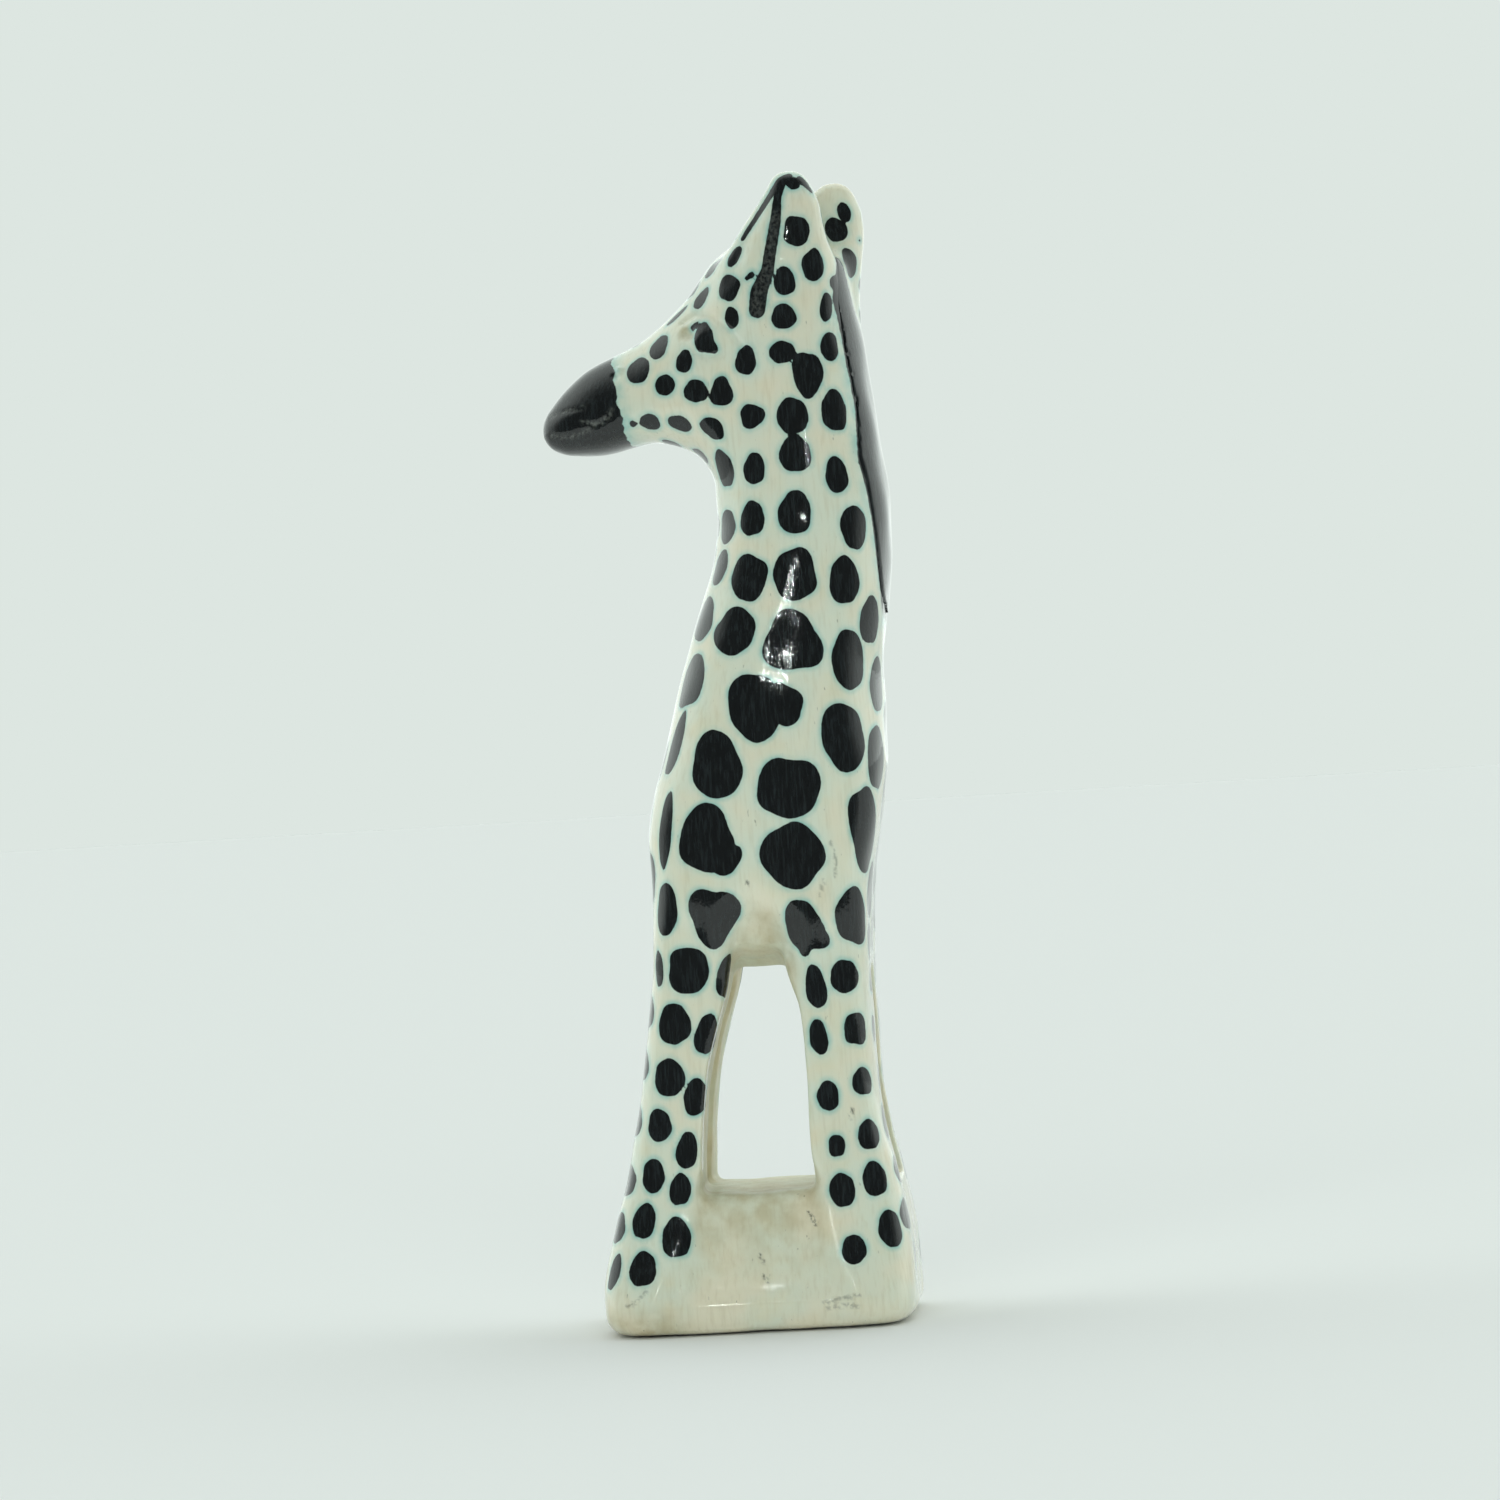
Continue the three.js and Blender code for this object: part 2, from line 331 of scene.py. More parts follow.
@dataclass(frozen=True)
class Face:
    """The wedge of the face: chin, brow and half width by place along X, nose at the low end."""

    chin: Curve = Curve(
        (
            (-23.3, 118.2), (-22.8, 116.9), (-21.6, 115.7), (-19.5, 115.0), (-16.5, 114.8),
            (-11.2, 115.6), (-8.6, 115.9), (-5.9, 115.4), (-2.9, 114.1), (-0.7, 112.0), (2, 108.5),
        )
    )
    brow: Curve = Curve(
        (
            (-23.3, 119.0), (-22.8, 120.3), (-21.6, 121.9), (-19.5, 124.1), (-16.5, 126.3),
            (-11.2, 128.5), (-8.6, 129.6), (-5.9, 131.5), (-2.9, 134.3), (1.6, 139.5), (4.5, 141.7),
            (8, 144.5),
        )
    )
    width: Curve = Curve(
        (
            (-23.4, 0.6), (-22.8, 2.7), (-21.7, 4.1), (-19.5, 5.2), (-16, 6.1), (-11, 6.9), (-6, 7.7),
            (0, 8.7), (5, 8.9),
        )
    )
    nose: float = -23.35
    buried: float = 7.0
    square: float = 2.5
    brow_narrowing: float = 0.22

    def field(self, x: Array, y: Array, z: Array) -> Array:
        """The wedge's field."""
        chin, brow = self.chin.at(x), self.brow.at(x)
        half = (brow - chin) / 2
        rise = z - (chin + brow) / 2
        narrowing = 1 - self.brow_narrowing * np.clip(rise / half, 0, 1.2)
        wedge = rounded(rise, y, half, self.width.at(x) * narrowing, self.square)
        wedge = common(wedge, self.nose - x, 1.0)
        return common(wedge, x - self.buried, 2.0)


@dataclass(frozen=True)
class Openings:
    """What the carver cuts through the blank to free the legs."""

    fore_edge: Curve = Curve(
        (
            (18, -6.6), (24, -6.3), (29, -5.8), (34, -4.9), (39, -3.6), (44, -2.0), (48, -1.2),
        )
    )
    hind_edge: Curve = Curve(((19, 8.1), (24, 7.8), (36, 7.7), (41, 7.3), (45, 6.2), (48, 5.4)))
    arch: float = 46.7
    arch_flare: float = 0.42
    flare_from: float = 4.0
    slot_half: float = 3.6
    slot_top: float = 46.0
    corner: float = 1.4
    sill: float = 18.5
    sill_fall: float = 0.06
    scoop: tuple[float, float, float] = (2.4, 14.2, 46.0)
    scoop_radii: tuple[float, float, float] = (5.4, 4.2, 8.6)
    panel_foot: float = 3.7
    panel_side: float = 16.0
    panel_lean: float = 0.27
    panel_fore: Curve = Curve(((4, -13.4), (6, -12.0), (11, -9.4), (16, -7.2), (24, -6.2)))
    panel_hind: Curve = Curve(((4, 13.0), (6, 11.8), (11, 9.6), (16, 8.6), (24, 8.2)))

    def cut_from(self, body: Array, x: Array, y: Array, z: Array) -> Array:
        """Cuts the belly opening, the slot between the legs, the belly scoops and the base panels.

        Args:
            body: The field to cut.
            x: Places along X.
            y: Places along Y.
            z: Heights.

        Returns:
            The field with the openings cut.
        """
        above = self.sill - self.sill_fall * np.abs(y) - z
        arch = self.arch + self.arch_flare * np.maximum(np.abs(y) - self.flare_from, 0)
        belly = common(self.fore_edge.at(z) - x, x - self.hind_edge.at(z), 1.0)
        belly = common(belly, z - arch, 1.4)
        belly = common(belly, above, self.corner)
        slot = common(np.abs(y) - self.slot_half, z - self.slot_top, 4.0)
        slot = common(slot, above, self.corner)
        side = np.abs(y)
        scoop = ellipsoid(x, side, z, self.scoop, self.scoop_radii)
        panel = self.panel_side - self.panel_lean * np.clip(z - self.panel_foot, 0, 18) - side
        panel = np.maximum(panel, z - self.sill - 3)
        panel = common(panel, common(self.panel_fore.at(z) - x, x - self.panel_hind.at(z), 1.0), 2.6)
        body = cut(body, scoop, 2.0)
        body = cut(body, panel, 1.3)
        body = cut(body, belly, 0.7 + 0.8 * ramp(z, self.sill + 3, self.sill))
        return cut(body, slot, 0.5)


@dataclass(frozen=True)
class Carving:
    """The whole figure as one field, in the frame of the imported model, in millimetres."""

    blank: Blank = Blank()
    face: Face = Face()
    openings: Openings = Openings()
    ears: tuple[Ear, Ear] = (LEFT_EAR, RIGHT_EAR)
    turn: float = math.radians(-8)
    turn_axis: float = 10.0
    turn_start: float = 92.0
    turn_end: float = 126.0
    ripple: float = 0.07

    def turn_at(self, z: Array) -> Array:
        """How far the neck has turned at a height, in radians."""
        return self.turn * ramp(z, self.turn_start, self.turn_end)

    def straightened(self, x: Array, y: Array, z: Array) -> tuple[Array, Array]:
        """Places in the figure as they would be if its neck weren't turned."""
        angle = self.turn_at(z)
        off = x - self.turn_axis
        cos, sin = np.cos(angle), np.sin(angle)
        return self.turn_axis + off * cos + y * sin, y * cos - off * sin

    def turned(self, points: Array) -> Array:
        """Points of the straight figure, carried round by the turn of the neck."""
        angle = self.turn_at(points[..., 2])
        off = points[..., 0] - self.turn_axis
        cos, sin = np.cos(angle), np.sin(angle)
        x = self.turn_axis + off * cos - points[..., 1] * sin
        y = off * sin + points[..., 1] * cos
        return np.stack((x, y, points[..., 2]), axis=-1)

    def ripples(self, x: Array, y: Array, z: Array) -> Array:
        """The slight waves that a file and sandpaper leave on a hand-made surface."""
        waves = (
            (0.61, 0.35, 0.22, 0.3),
            (-0.28, 0.77, 0.41, 1.9),
            (0.15, -0.52, 0.68, 4.1),
            (0.93, 0.12, -0.37, 2.6),
            (-0.44, -0.66, 0.11, 5.2),
        )
        total = 0.0
        for along_x, along_y, along_z, phase in waves:
            total = total + np.sin(along_x * x + along_y * y + along_z * z + phase)
        return self.ripple * total / math.sqrt(len(waves))

    def uncut(self, x: Array, y: Array, z: Array) -> Array:
        """The field of the outer form, before anything is cut into it; for straightened places."""
        body = join(self.blank.field(x, y, z), self.face.field(x, y, z), 2.2)
        for ear in self.ears:
            body = join(body, ear.field(x, y, z), 1.6)
        return body

    def field(self, x: Array, y: Array, z: Array) -> Array:
        """The finished figure's field."""
        x, y = self.straightened(x, y, z)
        body = self.uncut(x, y, z)
        for ear in self.ears:
            body = cut(body, ear.hollow(x, y, z), 0.7)
        body = self.openings.cut_from(body, x, y, z)
        body = body + self.ripples(x, y, z)
        return common(body, -z, 0.8)

    def mane_field(self, x: Array, y: Array, z: Array, ridge: "Mane") -> Array:
        """The raised ridge down the back of the neck."""
        x, y = self.straightened(x, y, z)
        return ridge.field(x, y, z, self.blank.field(x, y, z) + self.ripples(x, y, z))


@dataclass(frozen=True)
class Mane:
    """The ridge that stands a little proud of the back of the neck, and runs up between the ears."""

    front: Curve = Curve(
        (
            (90, 20.9), (97, 20.5), (105, 19.95), (112, 19.6), (117, 19.65), (121, 19.4), (124, 19.0),
            (130, 18.2), (134, 17.6), (137, 17.5), (140, 17.6),
        )
    )
    left: Curve = Curve(
        (
            (90, 4.0), (98, 6.1), (104, 6.5), (112, 6.9), (120, 7.1), (128, 6.9), (134, 5.6), (137, 4.1),
            (140, 2.4),
        )
    )
    right: Curve = Curve(
        (
            (90, 4.0), (98, 6.2), (112, 6.8), (122, 5.6), (128, 2.8), (132, 0.4), (136, -1.0),
            (140, -2.6),
        )
    )
    proud: float = 0.22
    low: float = 90.5
    high: float = 139.6

    def inside(self, x: Array, y: Array, z: Array) -> Array:
        """About the distance to the ridge's border, below zero within it; for straightened places."""
        border = np.maximum(self.front.at(z) - x, np.maximum(-y - self.left.at(z), y - self.right.at(z)))
        return np.maximum(border, np.maximum(z - self.high, self.low - z))

    def field(self, x: Array, y: Array, z: Array, neck: Array) -> Array:
        """The ridge's field, given the neck's."""
        return common(neck - self.proud, self.inside(x, y, z), 0.5)


# The skin over the field.


@dataclass
class Skin:
    """A mesh of four-sided faces, in millimetres, with its normals and painted values."""

    points: Array
    faces: Array
    normals: Array
    paint: dict[str, Array]

    def find_normals(self) -> None:
        """Works the normals out again from the faces."""
        corner = self.points[self.faces]
        across = np.cross(corner[:, 2] - corner[:, 0], corner[:, 3] - corner[:, 1])
        total = np.zeros_like(self.points)
        for k in range(4):
            np.add.at(total, self.faces[:, k], across)
        self.normals = unit(total)


@dataclass(frozen=True)
class Mesher:
    """Lays an even skin over a field, by surface nets drawn onto the exact surface."""

    step: float = 0.38
    nudge: float = 0.04
    passes: int = 3

    def skin(self, field: Field, lowest: Array, highest: Array) -> Skin:
        """Finds the surface of a field.

        Args:
            field: A function of x, y and z in millimetres, below zero inside.
            lowest: The low corner of the space to look in.
            highest: Its high corner.

        Returns:
            The skin, facing outwards.
        """
        axes = [np.arange(a, b + self.step, self.step) for a, b in zip(lowest, highest)]
        grid = np.meshgrid(*axes, indexing="ij", sparse=True)
        values = np.ascontiguousarray(field(*grid) + np.zeros([len(a) for a in axes]))
        points, faces = self.nets(values)
        points = points * self.step + np.array([a[0] for a in axes])
        for _ in range(self.passes):
            value, slope = self.slope(field, points)
            points = points - slope * (value / np.maximum((slope**2).sum(1), 0.2))[:, None]
        skin = Skin(points, faces, np.zeros_like(points), {})
        skin.find_normals()
        return skin

    def slope(self, field: Field, points: Array) -> tuple[Array, Array]:
        """A field's value and slope at points."""
        value = field(*points.T)
        slope = np.empty_like(points)
        for axis in range(3):
            moved = points.copy()
            moved[:, axis] += self.nudge
            slope[:, axis] = (field(*moved.T) - value) / self.nudge
        return value, slope

    @staticmethod
    def nets(values: Array) -> tuple[Array, Array]:
        """One point in each cell that the surface crosses, and one face for each crossed edge."""
        inside = values < 0
        steps = np.eye(3, dtype=int)
        corners = np.zeros([n - 1 for n in values.shape], np.int8)
        for i in (0, 1):
            for j in (0, 1):
                for k in (0, 1):
                    corners += inside[i : i - 1 or None, j : j - 1 or None, k : k - 1 or None]
        crossed = (corners > 0) & (corners < 8)
        cells = np.argwhere(crossed)
        number = np.full(crossed.shape, -1)
        number[crossed] = np.arange(len(cells))
        total = np.zeros((len(cells), 3))
        count = np.zeros(len(cells))
        for axis in range(3):
            first, second = steps[(axis + 1) % 3], steps[(axis + 2) % 3]
            for i in (0, 1):
                for j in (0, 1):
                    offset = i * first + j * second
                    start = values[tuple((cells + offset).T)]
                    end = values[tuple((cells + offset + steps[axis]).T)]
                    hit = (start < 0) != (end < 0)
                    share = np.where(hit, start / np.where(hit, start - end, 1), 0)
                    total += hit[:, None] * (offset + share[:, None] * steps[axis])
                    count += hit
        faces = []
        for axis in range(3):
            first, second = steps[(axis + 1) % 3], steps[(axis + 2) % 3]
            start = np.moveaxis(inside, axis, 0)[:-1]
            end = np.moveaxis(inside, axis, 0)[1:]
            edge = np.argwhere(np.moveaxis(start != end, 0, axis))
            edge = edge[((edge[:, (axis + 1) % 3] > 0) & (edge[:, (axis + 2) % 3] > 0))]
            ring = [number[tuple((edge - o).T)] for o in (first + second, second, 0 * first, first)]
            quad = np.stack(ring, axis=1)
            outward = inside[tuple(edge.T)]
            quad[~outward] = quad[~outward][:, ::-1]
            faces.append(quad)
        return cells + total / count[:, None], np.concatenate(faces)


# Dye, stain and wear, with painted shade and a painted sheen.


@dataclass(frozen=True)
class SideView:
    """The figure as it is looked at from its left, where its pattern is laid out."""

    turn: float = math.radians(4.5)
    distance: float = 700.0
    eye_height: float = 75.0
    aim: float = 2.0
    roll: float = math.radians(-3.4)
    frame_height: float = 196.8
    sensor: float = 36.0

    @property
    def right(self) -> Array:
        """The direction to the right of the view."""
        return np.array((math.cos(self.turn), math.sin(self.turn), 0.0))

    @property
    def towards(self) -> Array:
        """The direction from the figure to the viewer."""
        return np.array((math.sin(self.turn), -math.cos(self.turn), 0.0))

    @property
    def target(self) -> Array:
        """The point that the view is aimed at."""
        return self.aim * self.right + np.array((0, 0, self.eye_height))

    def seen(self, points: Array) -> tuple[Array, Array]:
        """Where points appear.

        Args:
            points: Places on the figure.

        Returns:
            Their (across, up) places in the view, and how far each is from the viewer.
        """
        eye = self.target + self.distance * self.towards
        away = -(points - eye) @ self.towards
        spread = self.distance / away
        across = (points - eye) @ self.right * spread + self.aim
        up = (points[:, 2] - self.eye_height) * spread + self.eye_height
        return np.stack((across, up), axis=1), away


@dataclass
class Locator:
    """Finds points of a skin by where they appear from the left, or by their mirror image."""

    carving: Carving
    view: SideView
    skin: Skin
    slack: float = 0.5
    behind: float = 2.0
    turned_away: float = 0.06

    def __post_init__(self) -> None:
        """Works out where every point appears."""
        points = self.skin.points
        self.seen, self.away = self.view.seen(points)
        self.facing = self.skin.normals @ self.view.towards
        self.straight = np.stack((*self.carving.straightened(*points.T), points[:, 2]), axis=1)

    def shown_at(self, across: float, up: float) -> int:
        """The point of the skin that shows at a place in the view."""
        off = np.hypot(self.seen[:, 0] - across, self.seen[:, 1] - up)
        off = np.where(self.facing > self.turned_away, off, np.inf)
        near = np.flatnonzero(off < off.min() + self.slack)
        front = near[self.away[near] < self.away[near].min() + self.behind]
        return int(front[np.argmin(off[front])])

    def mirrored(self, index: int) -> Array:
        """The place across the middle plane of the straight figure, turned back with the neck."""
        return self.carving.turned(self.straight[index] * np.array((1, -1, 1)))

    def nearest(self, place: Array) -> int:
        """The point of the skin that is nearest to a place."""
        return int(np.argmin(((self.skin.points - place) ** 2).sum(1)))


@dataclass(frozen=True)
class Spot:
    """A dyed spot, where it appears from the left: middle, half width and half height, tilt."""

    across: float
    up: float
    half_width: float
    half_height: float
    tilt: float = 0.0
    corners: int = 3
    pull: float = 0.03
    point: float = 90.0


def spots(*rows: tuple[float, ...]) -> tuple[Spot, ...]:
    """One spot for each row of its values."""
    return tuple(Spot(*row) for row in rows)


HEAD_SPOTS = spots(
    (12.0, 148.7, 0.95, 0.85),
    (12.1, 142.6, 1.8, 2.0, 0, 4, 0.05, 30),
    (14.0, 138.0, 1.5, 2.1, -8, 4, 0.04, 80),
    (10.2, 135.9, 1.4, 1.9),
    (9.6, 131.3, 1.6, 1.7),
    (15.3, 132.3, 0.8, 2.0, -12),
    (15.5, 127.0, 1.2, 1.9, -8),
    (9.2, 126.7, 1.7, 1.5),
    (12.3, 123.7, 2.0, 3.0, 0, 3, 0.06, 20),
    (-0.5, 117.2, 1.6, 1.3, -35),
    (-4.6, 118.2, 1.5, 1.0, -22),
    (-8.5, 118.6, 1.35, 1.0, -12),
    (-10.9, 118.5, 0.5, 0.42),
    (-5.9, 115.6, 1.7, 0.6, -22),
    (-2.1, 113.9, 1.7, 0.9, -35),
    (-9.6, 125.6, 1.5, 1.7),
    (-6.7, 128.4, 1.1, 1.6, -12),
    (-6.2, 123.4, 1.3, 1.4),
    (-3.6, 126.2, 1.1, 1.5),
    (-2.3, 122.2, 1.6, 1.5),
    (1.0, 121.8, 1.5, 1.9, 0, 3, 0.08, 90),
    (4.4, 125.9, 1.4, 1.9, -10, 3, 0.06, 80),
    (2.9, 131.5, 0.9, 1.5, 8),
    (2.9, 135.6, 1.4, 1.7, 0, 4, 0.05, 20),
    (-0.8, 134.4, 0.7, 1.5, -35),
    (3.8, 139.6, 0.7, 1.5, -28),
    (1.1, 138.5, 0.4, 1.7, -40),
    (-10.0, 129.3, 1.5, 0.35, 28),
    (-4.3, 132.2, 0.3, 1.6, -42),
    (18.6, 144.5, 0.9, 1.4, 12),
    (17.3, 142.2, 1.5, 1.7, 20),
    (18.9, 137.9, 0.9, 2.0),
    (18.9, 131.4, 0.35, 1.2),
    (20.3, 140.8, 0.15, 0.15),
    (20.0, 134.9, 0.25, 0.9),
)
NECK_SPOTS = spots(
    (15.8, 118.6, 1.7, 2.7),
    (10.3, 118.2, 2.1, 2.4),
    (10.2, 113.1, 2.1, 2.4),
    (15.4, 110.2, 1.5, 2.4),
    (4.7, 111.8, 1.4, 2.1),
    (4.9, 118.5, 1.6, 1.6, 0, 3, 0.08, 120),
    (0.8, 112.0, 1.1, 2.5, 12),
    (9.6, 105.4, 2.2, 2.8, -8),
    (4.1, 105.1, 1.6, 2.3, -8),
    (0.7, 104.1, 0.9, 2.3, -8),
    (17.4, 103.4, 1.7, 2.9, 0, 3, 0.05, 270),
)
TRUNK_SPOTS = spots(
    (3.3, 97.4, 2.35, 3.1, 0, 4, 0.04, 20),
    (9.3, 97.4, 2.9, 3.4, 0, 4, 0.05, 60),
    (15.6, 96.2, 2.0, 3.1),
    (-0.4, 99.0, 0.8, 2.3, -14),
    (-3.1, 92.3, 1.1, 2.8, -12),
    (0.9, 90.6, 2.6, 3.2, -28, 4, 0.04, 30),
    (8.4, 88.5, 3.8, 3.9, 0, 3, 0.13, 95),
    (18.8, 90.9, 1.3, 3.1),
    (15.6, 85.8, 2.1, 4.0, -2, 3, 0.04, 85),
    (19.2, 82.4, 0.8, 3.6, -4),
    (-5.2, 84.2, 1.3, 3.6, -14, 4, 0.03, 70),
    (2.8, 80.5, 3.6, 4.4, 10, 3, 0.06, 130),
    (6.7, 80.6, 2.4, 2.8, 0, 4, 0.08, 20),
    (14.5, 75.7, 2.9, 4.4, 4, 3, 0.05, 140),
    (18.7, 72.9, 1.0, 4.2, -6),
    (-2.7, 73.3, 3.3, 4.4, 10, 3, 0.06, 95),
    (-7.7, 76.2, 0.7, 4.1, -10),
    (6.8, 69.5, 4.15, 4.0, 0, 4, 0.045, 30),
    (-4.5, 63.4, 3.6, 4.5, 0, 3, 0.06, 85),
    (-2.2, 60.8, 2.2, 1.9, 25, 3, 0.1, 10),
    (6.8, 60.6, 4.2, 4.1, 0, 4, 0.045, 85),
    (16.7, 63.4, 1.7, 5.7, 8, 4, 0.04, 60),
    (-9.8, 64.9, 0.8, 5.1, -4),
    (-10.2, 54.7, 1.3, 3.5, -6),
    (-4.0, 53.2, 3.3, 3.7, -6, 3, 0.14, 270),
    (7.7, 51.5, 2.4, 3.4, 10, 3, 0.05, 90),
    (9.0, 50.0, 2.0, 1.8, -20, 3, 0.16, 340),
    (7.7, 49.4, 1.2, 1.9, 0, 3, 0.1, 270),
    (14.4, 52.4, 2.1, 3.8, 8, 3, 0.05, 300),
)
FORE_LEG_SPOTS = spots(
    (-7.7, 46.6, 2.7, 3.1, 0, 4, 0.04, 40),
    (-2.8, 45.2, 0.95, 2.8, -12),
    (-10.1, 39.5, 2.15, 2.7),
    (-5.8, 38.0, 1.5, 2.7, -14),
    (-11.1, 32.6, 2.0, 2.5),
    (-7.7, 29.9, 1.5, 2.5, -10),
    (-12.9, 26.4, 1.6, 2.1),
    (-9.5, 23.0, 1.4, 2.4, -8),
    (-14.1, 19.8, 1.5, 2.2, -6),
    (-10.4, 17.7, 1.4, 2.1, -8),
    (-15.6, 13.9, 1.5, 2.3, -10),
    (-11.6, 11.6, 1.9, 2.6),
    (-16.15, 7.7, 1.8, 2.2, -12),
    (-19.8, 7.6, 0.7, 2.3, -12),
    (-11.7, 46.9, 0.5, 2.4),
    (-13.2, 41.2, 0.5, 2.2),
    (-14.6, 34.2, 0.5, 2.1),
    (-15.8, 27.0, 0.5, 2.0),
    (-17.2, 19.4, 0.6, 2.0),
    (-18.9, 13.2, 0.6, 2.0),
)
HIND_LEG_SPOTS = spots(
    (8.6, 43.2, 1.4, 2.8, 6),
    (12.8, 44.4, 1.9, 2.2),
    (8.9, 36.7, 1.2, 2.3, 6),
    (13.8, 37.6, 1.6, 2.1, 0, 4, 0.05, 40),
    (9.7, 28.8, 1.4, 2.0),
    (14.2, 30.4, 1.35, 1.8),
    (10.2, 22.2, 1.1, 1.5, 0, 4, 0.05, 45),
    (14.6, 23.7, 1.5, 1.9),
    (10.8, 16.5, 1.7, 2.2),
    (15.1, 17.8, 1.6, 2.3),
    (16.7, 10.9, 1.6, 2.4, 8),
    (11.8, 8.7, 1.6, 1.9),
    (16.4, 44.0, 0.4, 1.8),
    (16.3, 37.4, 0.3, 1.8),
    (16.7, 30.8, 0.3, 1.6),
    (17.0, 25.1, 0.4, 2.2),
    (18.3, 19.0, 0.5, 1.8),
    (18.9, 12.9, 0.6, 2.0),
)
ALL_SPOTS = HEAD_SPOTS + NECK_SPOTS + TRUNK_SPOTS + FORE_LEG_SPOTS + HIND_LEG_SPOTS


@dataclass(frozen=True)
class Stroke:
    """A dyed line, where it appears from the left: (across, up, half width) along it."""

    path: tuple[tuple[float, float, float], ...]


EYE_SPOTS = spots(
    (-0.8, 129.2, 1.3, 2.1, 10, 3, 0.06, 80),
    (0.0, 128.3, 0.9, 1.2, 30, 3, 0.12, 300),
    (-2.0, 130.8, 0.6, 0.4, 50, 3, 0.15, 120),
)
EAR_STROKES = (
    Stroke(
        (
            (10.7, 148.9, 0.5),
            (9.9, 147.0, 0.55),
            (9.3, 144.0, 0.75),
            (8.7, 140.5, 0.8),
            (8.0, 137.5, 0.85),
            (6.9, 134.6, 1.15),
            (6.3, 132.4, 1.1),
        )
    ),
    Stroke(((5.0, 141.9, 0.35), (8.2, 146.3, 0.5), (10.3, 149.1, 0.6), (11.3, 149.8, 0.55))),
    Stroke(((12.9, 149.3, 0.5), (13.6, 148.5, 0.6), (14.4, 147.5, 0.35))),
    Stroke(((5.2, 136.5, 0.3), (5.9, 137.2, 0.45))),
)
MUZZLE_SCRATCHES = (
    ((-21.6, 120.0), (-19.5, 120.6), (-17.2, 120.9)),
    ((-21.6, 117.4), (-19.0, 117.3), (-16.4, 118.0), (-14.6, 119.2), (-13.6, 120.6)),
    ((-17.6, 119.4), (-15.4, 118.6), (-13.6, 119.6)),
)
# Where a grey painted sheen, standing in for the lacquer's reflection, lies along the left ear's black
# band.
EAR_BAND_PAINTED_SHEEN = ((9.3, 144.6), (8.7, 140.5), (8.0, 137.5), (6.9, 134.6), (6.3, 132.4))
GRIME = (
    (((-18.4, 2.8), (-17.2, 3.2), (-15.9, 4.8)), 0.3, 0.5),
    (((7.2, 1.9), (9.8, 2.3), (12.2, 2.5)), 0.35, 0.45),
    (((7.6, 1.1), (10.0, 1.5), (12.2, 1.2)), 0.4, 0.4),
    (((6.0, 13.9), (6.4, 13.4), (6.9, 12.4)), 0.28, 1.0),
    (((-0.5, 8.6), (-0.3, 7.8)), 0.24, 0.9),
    (((-0.2, 5.9), (0.0, 5.3)), 0.26, 0.9),
    (((0.5, 57.6), (0.6, 57.3)), 0.26, 1.0),
    (((11.9, 62.3), (12.4, 59.6), (12.2, 57.6)), 0.22, 0.5),
    (((3.9, 76.6), (5.2, 77.4), (7.6, 78.2)), 0.3, 0.55),
    (((9.9, 55.2), (10.8, 57.4)), 0.22, 0.45),
    (((12.3, 26.0), (12.8, 27.0)), 0.24, 0.8),
)


